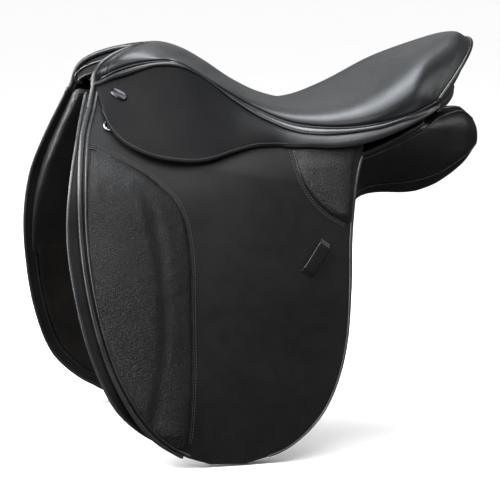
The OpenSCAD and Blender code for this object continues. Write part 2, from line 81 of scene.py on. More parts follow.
flap_o = np.array([
    [0, -199, 88, 92, 37], [0.1, -212, 55, 84, 15], [0.22, -221, 5, 77, -15],
    [0.35, -223, -50, 71, -55], [0.5, -218, -110, 67, -110], [0.65, -205, -170, 60, -168],
    [0.78, -186, -217, 44, -217], [0.88, -160, -254, 20, -252], [0.95, -130, -276, -15, -277],
    [1, -100, -287, -60, -289]], float)
sweat_o = np.array([
    [0, -201, 102, 76, 14], [0.1, -216, 60, 70, 0], [0.22, -232, 5, 64, -25],
    [0.35, -238, -50, 57, -60], [0.5, -233, -110, 50, -110], [0.65, -221, -168, 42, -165],
    [0.78, -200, -220, 26, -212], [0.88, -172, -250, 2, -243], [0.95, -140, -268, -30, -265],
    [1, -105, -276, -65, -277]], float)
# welt under the seat band: place along the seat, x, half width, z, and the x it comes down to
welt_line = np.array([
    [0, -192, 53, 112, -190.5], [0.085, -161, 61, 120, -165], [0.152, -130, 67, 130, -135],
    [0.224, -100, 72, 129, -105], [0.285, -74, 78, 116, -78], [0.338, -45, 88, 93, -50],
    [0.397, -20, 101, 76, -22], [0.448, 2, 114, 65, 4], [0.48, 13, 121, 61, 14],
    [0.525, 28, 128, 58, 28], [0.592, 57, 134, 57, 56], [0.668, 92, 140, 61, 90],
    [0.76, 130, 138, 70, 129], [0.845, 160, 127, 79, 165], [1, 184, 112, 87, 187]], float)
# lower edge of the fixed strip behind the skirt: place, x, half width, z
strip_edge = np.array([
    [0.44, 2, 131.5, 45.5], [0.48, 14, 134, 45], [0.525, 28, 136, 45], [0.592, 56, 139, 44],
    [0.668, 90, 142, 48], [0.76, 129, 140, 60], [0.845, 165, 130, 74], [1, 187, 116, 84]], float)
# moving skirt: x on the hinge line, edge x, edge z
drop = np.array([
    [-189, -188.5, 82], [-180, -186, 72], [-170, -180, 60], [-155, -167, 48], [-135, -143, 37],
    [-110, -112, 32], [-85, -85, 33], [-60, -56, 40], [-35, -32, 45], [-12, -12, 46], [3, 3, 45.5]], float)
knee = np.array([
    [-270, -134, -127], [-255, -154, -123], [-224, -178, -119], [-178, -199, -115],
    [-121, -212, -113], [-74, -217, -111], [-37, -218, -114], [-12, -217, -122], [4, -216, -136],
    [23, -212, -159], [36, -208, -182], [43, -206, -199]], float)
groove = np.array([
    [-262, -164], [-222, -155], [-186, -147], [-139, -142], [-92, -142], [-55, -145], [-18, -151],
    [2, -163], [30, -190]], float)
thigh = np.array([[-37, 65, 68], [-25, 45, 68], [-7, 28, 71], [15, 17, 74], [44, 11, 82]], float)
# panel by x: top inside z, top outside z, low z, bearing half width and z, channel foot z, and the
# half widths of the gusset's top and foot
pan = np.array([
    [-215, 104, 97, -100, 76, 0, 86, 0, 0], [-170, 98, 50, -100, 72, 8, 74, 0, 0],
    [-120, 78, 34, -90, 78, 4, 48, 0, 0], [-60, 70, 32, -75, 80, -6, 24, 0, 0],
    [0, 66, 31, -58, 76, -9, 8, 0, 0], [60, 64, 30, -45, 74, -12, 3, 112, 106],
    [100, 70, 36, -15, 66, -13, 3, 118, 100], [160, 88, 62, -13, 62, -8, 12, 113, 98],
    [200, 98, 82, -6, 56, 2, 26, 98, 93], [232, 96, 88, 12, 50, 26, 48, 76, 90],
    [246, 80, 72, 28, 44, 42, 56, 70, 78]], float)


def ss(t):
    t = np.clip(t, 0, 1)
    return t * t * (3 - 2 * t)


def mix(a, b, t):
    return a + (b - a) * t


def sm(k, x, c):
    """Smooth curve through a table's stations, held at its ends."""
    X, Y = k[:, 0], k[:, c]
    x = np.clip(np.asarray(x, float), X[0], X[-1])
    i = np.clip(np.searchsorted(X, x, side="right") - 1, 0, len(X) - 2)
    g = np.empty_like(Y)
    g[1:-1] = (Y[2:] - Y[:-2]) / (X[2:] - X[:-2])
    g[0], g[-1] = (Y[1] - Y[0]) / (X[1] - X[0]), (Y[-1] - Y[-2]) / (X[-1] - X[-2])
    h = X[i + 1] - X[i]
    t = (x - X[i]) / h
    t2, t3 = t * t, t * t * t
    return ((2 * t3 - 3 * t2 + 1) * Y[i] + (t3 - 2 * t2 + t) * h * g[i]
            + (3 * t2 - 2 * t3) * Y[i + 1] + (t3 - t2) * h * g[i + 1])


def hz(x):
    """Height of the line that flap and skirt hinge about."""
    return mix(92, 32, (x + 200) / 295)


def hw(x):
    """Half width of that line."""
    return mix(70, 156, (x + 200) / 295)


def w_side(x, z):
    return mix(sm(side, z, 1), sm(side, z, 2), ss((x + 210) / 200))


def w_flap(x, z):
    zt = hz(x) - 5
    return w_side(x, z) + np.minimum(0, hw(x) - 3.5 - w_side(x, zt)) * (1 - ss((zt - z) / 40))


def w_sweat(x, z):
    return w_flap(x, z) - FLAP - 3 - 19.5 * ss((x + 215) / 110)


def w_skirt(x, z):
    return w_flap(x, z) + 0.9 + SKIRT + 9.8 * np.exp(-((x + 130) / 66) ** 2) * ss((hz(x) - z) / 16)


def seat_p(u, v):
    b, k = np.sin(np.pi / 2 * np.abs(v)), mix(0.3, 1, u)
    ax = (np.sqrt(b * b + k * k) - k) / (np.sqrt(1 + k * k) - k)
    az = mix(1 - np.cos(np.pi / 2 * v), (np.sqrt(b * b + 1) - 1) / (math.sqrt(2) - 1), ss((u - 0.8) / 0.2))
    return np.stack([mix(sm(seat, u, 1), sm(seat, u, 3), ax), np.sign(v) * sm(seat, u, 4) * b,
                     mix(sm(seat, u, 2), sm(seat, u, 5), az)], -1)


# ---------------------------------------------------------------- noise, normals and mesh building
def noise3(p, scale, seed=0):
    """Smooth value noise in -1..1 at points p, with cells of that size."""
    q = np.asarray(p, float) / scale + 137.0
    i = np.floor(q).astype(np.int64)
    f = q - i
    f = f * f * (3 - 2 * f)
    out = 0
    for dx in (0, 1):
        for dy in (0, 1):
            for dz in (0, 1):
                h = ((i[..., 0] + dx) * 73856093 ^ (i[..., 1] + dy) * 19349663
                     ^ (i[..., 2] + dz) * 83492791 ^ seed * 2654435) & 0xFFFFFF
                h = (h * 1103515245 + 12345) & 0x7FFFFFFF
                w = (np.where(dx, f[..., 0], 1 - f[..., 0]) * np.where(dy, f[..., 1], 1 - f[..., 1])
                     * np.where(dz, f[..., 2], 1 - f[..., 2]))
                out = out + w * (h / 0x3FFFFFFF - 1)
    return out


def grid(a, b):
    return np.meshgrid(a, b, indexing="ij")


def unit(v):
    return v / np.maximum(np.linalg.norm(v, axis=-1, keepdims=True), 1e-9)


def grid_normals(P, out):
    n = unit(np.cross(np.gradient(P, axis=0), np.gradient(P, axis=1)))
    mid = n[n.shape[0] // 2, n.shape[1] // 2]
    return n if mid @ np.asarray(out, float) > 0 else -n


def surf(wf, x, z, lift=0.0):
    """Points and outward normals of a left-hand surface given as half width over x and z."""
    x, z = np.asarray(x, float), np.asarray(z, float)
    n = unit(np.stack([wf(x - 0.5, z) - wf(x + 0.5, z), -np.ones_like(x),
                       wf(x, z - 0.5) - wf(x, z + 0.5)], -1))
    return np.stack([x, -wf(x, z), z], -1) + n * lift, n


# how a cut edge rounds off: distance in from the edge and share of the half thickness
ROUND = ((0.0, 0.0), (0.05, 0.31), (0.2, 0.6), (0.45, 0.835), (1.0, 1.0))


def rounded(P, T, edges):
    """Adds rows near the named edges (a, b rows first and last; c, d columns) and their thickness share."""
    pr, pc = np.ones(P.shape[0]), np.ones(P.shape[1])
    for e in edges:
        ax = 0 if e in "ab" else 1
        Q = np.moveaxis(P, ax, 0)
        prof = pr if ax == 0 else pc
        if e in "bd":
            Q, prof = Q[::-1], prof[::-1]
        d = Q[1] - Q[0]
        ln = np.linalg.norm(d, axis=-1, keepdims=True)
        step = [Q[0] + d / np.maximum(ln, 1e-6) * np.minimum(a * T / 2, 0.9 * ln) for a, _ in ROUND]
        Q = np.concatenate([np.stack(step), Q[1:]])
        prof = np.concatenate([[s for _, s in ROUND], prof[1:]])
        if e in "bd":
            Q, prof = Q[::-1], prof[::-1]
        P = np.moveaxis(Q, 0, ax)
        if ax == 0:
            pr = prof
        else:
            pc = prof
    return P, np.minimum(pr[:, None], pc[None, :])


def quads(n, m, off=0, flip=False, mask=None):
    i, j = grid(np.arange(n - 1), np.arange(m - 1))
    if mask is not None:
        i, j = i[mask], j[mask]
    a = (i * m + j).ravel() + off
    f = np.stack([a, a + m, a + m + 1, a + 1], -1)
    return f[:, ::-1] if flip else f


def quads_round(n, k):
    """Faces between n rings of k points."""
    i, j = grid(np.arange(n - 1), np.arange(k))
    a, b = (i * k + j).ravel(), (i * k + (j + 1) % k).ravel()
    return np.stack([a, b, b + k, a + k], -1)


def closed(A, B, mask=None):
    """Closed shell between an outer and an inner grid, over the cells of mask."""
    n, m = A.shape[:2]
    o = n * m
    if mask is None:
        mask = np.ones((n - 1, m - 1), bool)
    F = [quads(n, m, 0, False, mask), quads(n, m, o, True, mask)]
    pad = np.pad(mask, 1)
    for i, j in np.argwhere(mask):
        a, b, c, d = i * m + j, (i + 1) * m + j, (i + 1) * m + j + 1, i * m + j + 1
        for beside, p, q in ((pad[i, j + 1], d, a), (pad[i + 2, j + 1], b, c), (pad[i + 1, j], a, b),
                             (pad[i + 1, j + 2], c, d)):
            if not beside:
                F.append([[p + o, q + o, q, p]])
    return np.concatenate([A.reshape(-1, 3), B.reshape(-1, 3)]), np.concatenate(F)


def slab(P, T, edges="", out=(0, -1, 0)):
    """Leather of thickness T under the outer surface P, with rounded edges where named."""
    P, prof = rounded(P, T, edges)
    n = grid_normals(P, out)
    h = (prof * T / 2)[..., None]
    return closed(P - n * (T / 2 - h), P - n * (T / 2 + h))


def tube(path, r, k=10, ends=True):
    """Round cord along a path; r may change along it."""
    path = np.asarray(path, float)
    r = np.broadcast_to(np.asarray(r, float), (len(path),)).copy()
    if ends:
        t0, t1 = unit(path[0] - path[1]), unit(path[-1] - path[-2])
        cap = [(1.0, 0.03), (0.87, 0.5), (0.5, 0.87)]
        path = np.concatenate([[path[0] + t0 * r[0] * c for c, _ in cap], path,
                               [path[-1] + t1 * r[-1] * c for c, _ in cap[::-1]]])
        r = np.concatenate([[r[0] * s for _, s in cap], r, [r[-1] * s for _, s in cap[::-1]]])
    d = unit(np.gradient(path, axis=0))
    a = np.cross(d[0], np.array([0, 0, 1.0]))
    if np.linalg.norm(a) < 0.2:
        a = np.cross(d[0], np.array([1.0, 0.3, 0]))
    A = []
    for t in d:
        a = unit(a - t * (a @ t))
        A.append(a)
    A = np.array(A)
    B = np.cross(d, A)
    th = np.arange(k) * 2 * math.pi / k
    V = (path[:, None] + r[:, None, None] * (np.cos(th)[None, :, None] * A[:, None]
                                             + np.sin(th)[None, :, None] * B[:, None]))
    n = len(path)
    F = quads_round(n, k).tolist() + [list(range(k))[::-1], [(n - 1) * k + q for q in range(k)]]
    return V.reshape(-1, 3), F


def resample(P, step, N=None):
    """The path P, and the normals N along it, at even steps."""
    s = np.concatenate([[0], np.cumsum(np.linalg.norm(np.diff(P, axis=0), axis=1))])
    q = np.linspace(0, s[-1], max(2, int(round(s[-1] / step)) + 1))
    R = np.stack([np.interp(q, s, P[:, c]) for c in range(3)], -1)
    if N is None:
        return R
    return R, unit(np.stack([np.interp(q, s, N[:, c]) for c in range(3)], -1))


def smoothed(a, reach):
    """Row a under a bell-shaped moving average that reaches that many places each way."""
    bell = np.hanning(2 * reach + 3)
    return np.convolve(np.pad(a, reach, mode="edge"), bell[1:-1] / bell.sum(), "valid")


def stitches(P, N, pitch=3.1, length=2.3, r=0.42, lift=0.12, slant=0.22):
    """A row of slanted thread stitches lying in the surface."""
    R, M = resample(P, pitch, N)
    T = unit(np.gradient(R, axis=0))
    S = unit(np.cross(M, T))
    V, F, k = [], [], 6
    # one stitch: place along it, height and thickness
    form = ((-0.5, -0.5, 0.5), (-0.3, 0.35, 0.95), (0.0, 0.6, 1.0), (0.3, 0.35, 0.95), (0.5, -0.5, 0.5))
    for c, t, s, n in zip(R, T, S, M):
        d = unit(t + s * slant)
        a, b = unit(np.cross(n, d)), n
        base = len(V)
        for q, h, w in form:
            o = c + d * q * length + n * (lift + h * r * 0.6)
            for j in range(k):
                th = 2 * math.pi * j / k
                V.append(o + r * w * (math.cos(th) * a + math.sin(th) * b))
        F += (quads_round(len(form), k) + base).tolist()
        F += [[base + j for j in range(k)][::-1], [base + 4 * k + j for j in range(k)]]
    return np.array(V), F


def join(*parts):
    V, F, o = [], [], 0
    for v, f in parts:
        V.append(np.asarray(v))
        F += [[int(i) + o for i in q] for q in f]
        o += len(v)
    return np.concatenate(V), F


def make(name, V, F, mat, body="saddle", nodes=(), slot=None, sharp=45, sub=0):
    """One piece of V and F in millimetres; faces that meet at more than sharp degrees keep their edge."""
    me = bpy.data.meshes.new(name)
    me.from_pydata((np.asarray(V) / 1000).tolist(), [], [list(map(int, f)) for f in F])
    me.materials.append(mat)
    bm = bmesh.new()
    bm.from_mesh(me)
    bmesh.ops.remove_doubles(bm, verts=bm.verts, dist=2e-6)
    bmesh.ops.dissolve_degenerate(bm, dist=1e-7, edges=bm.edges)
    bmesh.ops.recalc_face_normals(bm, faces=bm.faces)
    limit = math.radians(sharp)
    for f in bm.faces:
        f.smooth = True
    for e in bm.edges:
        e.smooth = len(e.link_faces) != 2 or e.calc_face_angle(0.0) < limit
    bm.to_mesh(me)
    bm.free()
    ob = bpy.data.objects.new(name, me)
    SCENE.collection.objects.link(ob)
    if sub:
        mod = ob.modifiers.new("smooth", "SUBSURF")
        mod.levels = mod.render_levels = sub
    if body:
        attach(ob, body)
    if nodes:
        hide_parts(*nodes)
    return ob


def pair(name, shape, mat, body="saddle", nodes=(), slot=None, sharp=45, sub=0):
    """The left piece and its mirror image."""
    V, F = shape
    out = []
    for s, flip in (("left", 1), ("right", -1)):
        W = np.asarray(V) * [1, flip, 1]
        G = F if flip == 1 else [list(f)[::-1] for f in F]
        b = body if body in (None, "saddle") else f"{s}_{body}"
        out.append(make(f"{s}_{name}", W, G, mat, b, [f"{s}_{n}" for n in nodes], slot, sharp, sub))
    return out


def plump(V, F, voxel, cap, free):
    """Padding swollen by a short cloth simulation; free says where a point may move, cap how far.

    The cloth is an even voxel copy of the pad, under a slight inner pressure. Its movement is
    carried over to the detailed mesh."""
    V = np.asarray(V, float)
    me = bpy.data.meshes.new("plump")
    me.from_pydata((V / 1000).tolist(), [], [list(map(int, f)) for f in F])
    ob = bpy.data.objects.new("plump", me)
    SCENE.collection.objects.link(ob)
    mod = ob.modifiers.new("voxels", "REMESH")
    mod.mode, mod.voxel_size = "VOXEL", voxel / 1000
    coarse = bpy.data.meshes.new_from_object(ob.evaluated_get(bpy.context.evaluated_depsgraph_get()))
    ob.modifiers.clear()
    ob.data = coarse

    def points(mesh):
        a = np.empty(len(mesh.vertices) * 3)
        mesh.vertices.foreach_get("co", a)
        return a.reshape(-1, 3) * 1000

    P0 = points(coarse)
    held = ob.vertex_groups.new(name="held")
    for i, w in enumerate(1 - free(P0)):
        if w > 0:
            held.add([i], float(w), "REPLACE")
    cloth = ob.modifiers.new("cloth", "CLOTH")
    cs = cloth.settings
    cs.quality, cs.mass, cs.vertex_group_mass = 6, 0.3, "held"
    cs.use_pressure, cs.uniform_pressure_force = True, 4.0
    cs.effector_weights.gravity = 0
    cloth.point_cache.frame_start, cloth.point_cache.frame_end = 1, CLOTH_FRAMES
    for f in range(1, CLOTH_FRAMES + 1):
        SCENE.frame_set(f)
    P1 = points(ob.evaluated_get(bpy.context.evaluated_depsgraph_get()).data)
    SCENE.frame_set(1)
    bpy.data.objects.remove(ob)
    D = P1 - P0
    D *= np.minimum(1, cap / np.maximum(np.linalg.norm(D, axis=1), 1e-9))[:, None]
    tree = KDTree(len(P0))
    for i, q in enumerate(P0):
        tree.insert(q, i)
    tree.balance()
    out = V.copy()
    for i, (q, w) in enumerate(zip(V, free(V))):
        near = tree.find_n(q, 6)
        k = np.array([1 / (t[2] + 0.5) for t in near])
        out[i] += w * (D[[t[1] for t in near]] * k[:, None]).sum(0) / k.sum()
    return out, F


def above_flap(depth):
    """Free where a point stands that far off the flap, held at the flap."""
    return lambda P: ss((-P[:, 1] - w_flap(P[:, 0], P[:, 2]) - 0.8) / depth)


class Look:
    """A node material with a few shorthands."""

    def __init__(self, name):
        self.m = bpy.data.materials.new(name)
        self.m.use_nodes = True
        self.t = self.m.node_tree
        self.p = self.t.nodes["Principled BSDF"]
        self.co = self.t.nodes.new("ShaderNodeTexCoord").outputs["Object"]

    def feed(self, socket, v):
        if isinstance(v, bpy.types.NodeSocket):
            self.t.links.new(v, socket)
        else:
            socket.default_value = (*v, 1) if socket.type == "RGBA" else v

    def node(self, kind, ins, **kw):
        n = self.t.nodes.new("ShaderNode" + kind)
        for a, b in kw.items():
            setattr(n, a, b)
        for a, b in ins.items():
            self.feed(n.inputs[a], b)
        return n

    def noise(self, scale, detail=3.0, rough=0.5, vec=None):
        return self.node("TexNoise", ins={"Vector": vec or self.co, "Scale": scale, "Detail": detail,
                                          "Roughness": rough}).outputs["Fac"]

    def cells(self, scale, vec):
        return self.node("TexVoronoi", feature="DISTANCE_TO_EDGE",
                         ins={"Vector": vec, "Scale": scale}).outputs["Distance"]

    def math(self, op, a, b=0.0, c=0.0, clamp=False):
        return self.node("Math", operation=op, use_clamp=clamp, ins={0: a, 1: b, 2: c}).outputs[0]

    def span(self, v, a, b, lo, hi):
        return self.node("MapRange", interpolation_type="SMOOTHSTEP",
                         ins={"Value": v, "From Min": a, "From Max": b, "To Min": lo,
                              "To Max": hi}).outputs["Result"]

    def tint(self, fac, a, b):
        return self.node("Mix", data_type="RGBA", ins={0: fac, 6: a, 7: b}).outputs[2]

    def bump(self, height, strength, dist, base=None):
        ins = {"Height": height, "Strength": strength, "Distance": dist}
        if base is not None:
            ins["Normal"] = base
        return self.node("Bump", ins=ins).outputs["Normal"]

    def put(self, **kw):
        for a, b in kw.items():
            self.feed(self.p.inputs[a.replace("_", " ")], b)
        return self.m


def leather(name, dark, light, rough, cell, relief, coat=0.0, crease=0.0, wear=0.5, sheen=0.0,
            lump=0.0004, deep=0.13, spec=0.5, strip=False, pit=0.35):
    """Dyed leather: pores or pebbles, uneven dye, rubbed edges, fine creases.

    cell is the size of a pebble in metres, relief and deep how far it stands out, pit how strongly
    painted shade darkens the hollows between pebbles, lump the depth of the hide's unevenness."""
    L = Look(name)
    warp = L.node("TexNoise", ins={"Vector": L.co, "Scale": 260.0, "Detail": 2.0})
    v = L.node("Mix", data_type="VECTOR", ins={0: 0.0022, 4: L.co, 5: warp.outputs["Color"]}).outputs[1]
    grain = L.span(L.cells(1.0 / cell, v), 0.0, 0.34, 0.0, 1.0)
    fine = L.span(L.cells(2.6 / cell, v), 0.0, 0.4, 0.0, 1.0)
    tone = L.span(L.noise(22.0, 4.0, 0.55), 0.3, 0.7, 0.0, 1.0)
    col = L.tint(tone, dark, light)
    rub = L.span(L.node("NewGeometry", {}).outputs["Pointiness"], 0.515, 0.6, 0.0, wear)
    col = L.tint(rub, col, tuple(min(1.0, c * 2.4 + 0.012) for c in light))
    # painted shade: the hollows between pebbles are darkened, the more so the larger pit is
    pebble_shade_mask = L.math("MULTIPLY_ADD", grain, pit, 1 - pit)
    col = L.tint(pebble_shade_mask, tuple(c * 0.45 for c in dark), col)
    ro = L.math("ADD", L.span(L.noise(70.0, 3.0, 0.6), 0.25, 0.75, rough - 0.05, rough + 0.06),
                L.math("MULTIPLY", grain, -0.05))
    ro = L.math("ADD", ro, L.math("MULTIPLY", rub, -0.08), clamp=True)
    height = L.math("MULTIPLY_ADD", fine, 0.3, L.math("MULTIPLY", grain, 0.7))
    n = L.bump(height, min(1.0, relief), cell * deep)
    n = L.bump(L.noise(38.0, 4.0, 0.55), 0.35, lump, n)
    if crease:
        n = L.bump(L.span(L.noise(120.0, 5.0, 0.7), 0.42, 0.58, 0, 1), crease, 0.0006, n)
    if strip:
        # glossier towards the rear, where it runs on as the strip under the seat, and painted lighter
        # there: a painted highlight
        x = L.node("SeparateXYZ", ins={0: L.co}).outputs[0]
        f = L.span(x, -0.015, 0.07, 0.0, 1.0)
        col = L.tint(f, col, (0.085, 0.086, 0.092))
        ro = L.math("MULTIPLY", ro, L.math("MULTIPLY_ADD", f, -0.3, 1.0))
        coat = L.math("MULTIPLY", f, 0.8)
        spec = L.math("MULTIPLY_ADD", f, 0.4, spec)
    return L.put(Base_Color=col, Roughness=ro, Normal=n, Specular_IOR_Level=spec, Coat_Weight=coat,
                 Coat_Roughness=rough * 0.75, Coat_Normal=n, Sheen_Weight=sheen, Sheen_Roughness=0.45)


def steel(name, col, rough, brush):
    L = Look(name)
    stretch = L.node("Mapping", ins={"Vector": L.co, "Scale": (1.0, 14.0, 14.0)}).outputs["Vector"]
    lines = L.noise(220.0, 4.0, 0.6, stretch)
    smear = L.noise(45.0, 3.0, 0.5)
    ro = L.math("ADD", L.span(smear, 0.3, 0.7, rough * 0.7, rough * 1.35), L.math("MULTIPLY", lines, 0.05))
    return L.put(Base_Color=L.tint(smear, tuple(c * 0.86 for c in col), col), Metallic=1.0, Roughness=ro,
                 Normal=L.bump(lines, brush, 0.0002))


def laminate(name):
    L = Look(name)
    v = L.node("Mapping", ins={"Vector": L.co, "Scale": (1.0, 7.0, 7.0)}).outputs["Vector"]
    g = L.noise(38.0, 6.0, 0.6, v)
    # dark brown, far darker than beech: painted shade where the tree shows through gaps
    return L.put(Base_Color=L.tint(g, (0.030, 0.022, 0.016), (0.060, 0.045, 0.033)),
                 Roughness=L.span(g, 0.3, 0.7, 0.42, 0.6), Normal=L.bump(g, 0.4, 0.0004))


def weave(name, a, b, pitch):
    L = Look(name)
    rows = [L.node("TexWave", bands_direction=d, ins={"Vector": L.co, "Scale": 0.31 / pitch}) for d in "XZ"]
    h = L.math("MAXIMUM", *(w.outputs["Fac"] for w in rows))
    return L.put(Base_Color=L.tint(L.math("MULTIPLY", h, L.noise(90.0)), a, b), Roughness=0.85,
                 Normal=L.bump(h, 0.8, 0.0005), Sheen_Weight=0.2)


def thread(name, col):
    L = Look(name)
    ply = L.node("TexWave", bands_direction="DIAGONAL", ins={"Vector": L.co, "Scale": 520.0}).outputs["Fac"]
    return L.put(Base_Color=L.tint(ply, tuple(c * 0.55 for c in col), col), Roughness=0.5,
                 Normal=L.bump(ply, 0.5, 0.0002), Sheen_Weight=0.15)


M_SEAT = leather("seat_leather_black", (0.008, 0.009, 0.011), (0.013, 0.015, 0.018), 0.38, 0.0011, 0.22,
                 coat=0.30, sheen=0.08, lump=0.00025)
M_SMOOTH = leather("smooth_leather_black", (0.009, 0.009, 0.010), (0.016, 0.016, 0.017), 0.47, 0.0012, 0.35,
                   coat=0.05, wear=0.3, sheen=0.08)
# its colour turns lighter towards the rear strip: a painted highlight
M_SKIRT = leather("skirt_leather_black", (0.007, 0.007, 0.008), (0.013, 0.013, 0.014), 0.50, 0.0012, 0.35,
                  wear=0.0, spec=0.22, strip=True)
M_WELT = leather("welt_leather_black", (0.012, 0.012, 0.013), (0.022, 0.022, 0.024), 0.28, 0.0011, 0.2,
                 coat=0.7, wear=0.3)
M_GRAIN = leather("grained_leather_black", (0.008, 0.008, 0.009), (0.020, 0.020, 0.022), 0.37, 0.0021, 1.0,
                  coat=0.1, crease=0.02, wear=0.25, deep=0.25, pit=0.9)
# the grained black leather in a lighter copy: painted highlight on the thigh pad
M_THIGH_LIT = leather("pad_leather_painted_highlight", (0.022, 0.022, 0.023), (0.060, 0.060, 0.063), 0.40, 0.0019, 0.9,
                  coat=0.4, crease=0.05, wear=0.25, deep=0.22, pit=0.8)
M_PANEL = leather("panel_leather_black", (0.010, 0.010, 0.011), (0.018, 0.018, 0.019), 0.36, 0.0013, 0.3,
                  coat=0.15, crease=0.12, wear=0.3)
M_LINING = leather("lining_leather_dark", (0.010, 0.009, 0.008), (0.018, 0.015, 0.013), 0.5, 0.0014, 0.4,
                   crease=0.2)
# black leather in a lighter copy: painted highlight on the rolls, the seat band and the bindings
M_PIPING_LIT = leather("piping_leather_painted_highlight", (0.030, 0.031, 0.034), (0.066, 0.067, 0.072), 0.30, 0.0011, 0.2,
                   coat=0.9, wear=0.2)
# black thread given a grey colour: painted highlight on the stitches
M_THREAD_LIT = thread("thread_painted_highlight", (0.17, 0.17, 0.18))
M_DARK_THREAD = thread("black_thread", (0.02, 0.02, 0.02))
M_CHROME = steel("chrome_plate", (0.80, 0.81, 0.83), 0.14, 0.1)
M_STEEL = steel("brushed_steel", (0.50, 0.50, 0.51), 0.34, 0.5)
M_GUN = steel("gunmetal_stud", (0.10, 0.10, 0.11), 0.20, 0.15)
# painted shade: the tree is kept dark so the gaps under the seat band read as shade
M_WOOD_SHADED = laminate("beech_laminate_painted_shade")
M_WEB = weave("linen_webbing", (0.30, 0.25, 0.17), (0.55, 0.48, 0.36), 0.0016)
M_FOAM = weave("foam_scrim", (0.40, 0.36, 0.28), (0.62, 0.57, 0.45), 0.0022)

# carried-over and hidden CAD nodes, by what their names hold; the first that fits counts
CAD_LOOKS = (("stirrup_bar", M_STEEL), ("head_plate", M_STEEL), ("gullet_plate", M_STEEL),
             ("bar_catch", M_CHROME), ("dee", M_CHROME), ("tree", M_WOOD_SHADED), ("web", M_WEB),
             ("foam", M_FOAM), ("panel", M_PANEL), ("channel", M_PANEL), ("block", M_GRAIN),
             ("thigh", M_GRAIN), ("", M_SMOOTH))
for node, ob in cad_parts.items():
    if not ob.material_slots:
        ob.data.materials.append(None)
    for place in ob.material_slots:
        place.material = next(mat for part, mat in CAD_LOOKS if part in node)


def roll(name, path, r, k=10, mat=M_PIPING_LIT, body="saddle", nodes=(), slot=None):
    """A leather-covered cord, left and right."""
    pair(name, tube(path, r, k), mat, body, nodes, slot)


def sewn(name, P, N, body, mat=M_THREAD_LIT, pitch=3.1, length=2.3):
    """A row of stitches, left and right."""
    pair(name, stitches(P, N, pitch, length), mat, body)


def offset(x, z, d):
    """The line x, z moved sideways by d in its plane, to the right of its run."""
    t = unit(np.stack([np.gradient(x), np.gradient(z)], -1))
    return x + t[:, 1] * d, z - t[:, 0] * d


# ---------------------------------------------------------------- seat
NU, NV = 150, 120
U, V = grid(np.linspace(0, 1, NU + 1), np.linspace(-1, 1, NV + 1))
G = seat_p(U, V)
LIP = [(0.3, 1.0), (1.3, 2.2), (3.2, 3.0), (6.0, 2.6)]  # the cover's turned edge: inward, down


def turn(G, axis, end, direction):
    """The cover turned under along one edge: inward and down."""
    E = np.take(G, 0 if end == 0 else -1, axis=axis)
    rows = [E + np.asarray(direction) * i + np.array([0, 0, -1.0]) * d for i, d in LIP]
    R = np.stack(rows if end else rows[::-1], axis=axis)
    return np.concatenate([G, R] if end else [R, G], axis=axis)


G = turn(G, 1, 0, (0, 1, 0))
G = turn(G, 1, 1, (0, -1, 0))
G = turn(G, 0, 0, (1, 0, -0.3))
G = turn(G, 0, 1, (-1, 0, -0.3))
seat_cover = make("seat_cover_leather", *slab(G, SKIRT, "", (0, 0, 1)), M_SEAT, "saddle",
                  ["seat_cover", "seat_foam"], sharp=70)

u = np.linspace(0, 1, 160)
seam = np.stack([sm(seat, u, 3), -(sm(seat, u, 4) - 1.4), sm(seat, u, 5) - 3.2], -1)
roll("seat_piping", seam, 1.9, 10, M_WELT, nodes=["seat_welt"])

# band between the seat and the skirts
def band_s(u):
    return np.stack([sm(seat, u, 3), -(sm(seat, u, 4) - 0.6), sm(seat, u, 5) - 5.4], -1)


def band_t(u):
    return np.stack([sm(welt_line, u, 1), -sm(welt_line, u, 2), sm(welt_line, u, 3)], -1)


u = np.linspace(0, 1, 170)
r = np.linspace(0, 1, 13)
S, T = band_s(u), band_t(u)
across = unit(T - S + np.array([0, -0.8, -2.5]))
n_band = unit(np.cross(np.gradient(S, axis=0), across))
n_band *= np.sign(n_band @ np.array([0, -1.0, 0.4]))[:, None]
n_band = unit(np.stack([smoothed(c, 6) for c in n_band.T], -1))
BAND_MIN = 7.0  # least width, where the skirt meets the seat
T = T + across * np.maximum(0, BAND_MIN - np.linalg.norm(T - S, axis=1))[:, None]
P = S[:, None] + (T - S)[:, None] * r[None, :, None] + n_band[:, None] * (
    0.9 + 2.9 * np.sin(np.pi * np.clip(r * 0.90 + 0.10, 0, 1)) ** 0.7)[None, :, None]
pair("seat_band", slab(P, 2.6, "cdab"), M_PIPING_LIT)
row = S + (T - S) * 0.80 + n_band * 2.9
sewn("seat_band_stitching", row[2:-2], n_band[2:-2], "saddle", M_DARK_THREAD)

# ---------------------------------------------------------------- skirts
SPLIT = 0.4465  # place along the welt where the moving skirt ends and the fixed strip begins
n1, n2 = 26, 18  # columns above and below the hinge line
ua = np.unique(np.concatenate([np.linspace(0, 1, 190), [SPLIT]]))
T = band_t(ua)
hx = sm(welt_line, ua, 4)
ex, ez = sm(drop, hx, 1), sm(drop, hx, 2)
k = ss((ua - SPLIT + 0.012) / 0.024)[:, None]
E = mix(np.stack([ex, -w_skirt(ex, ez), ez], -1),
        np.stack([sm(strip_edge, ua, 1), -sm(strip_edge, ua, 2), sm(strip_edge, ua, 3)], -1), k)
qh = np.clip((T[:, 2] - hz(hx)) / (T[:, 2] - E[:, 2]), 0.3, 0.93)
need = (hw(hx) + 0.6) + mix(T[:, 1], E[:, 1], qh)
bow = np.where(ua <= SPLIT, np.maximum(0, need) / (qh * (1 - qh)), 14.0)
bow = smoothed(bow, 12)
SK = []
for q in np.concatenate([np.linspace(0, 1, n1), 1 + np.linspace(0, 1, n2 + 1)[1:]]):
    f = (qh * q if q <= 1 else mix(qh, 1, q - 1))[:, None]
    SK.append(T + (E - T) * f - np.array([0, 1.0, 0]) * bow[:, None] * f * (1 - f))
SK = np.stack(SK, 1)
SKR, prof = rounded(SK, SKIRT, "abd")
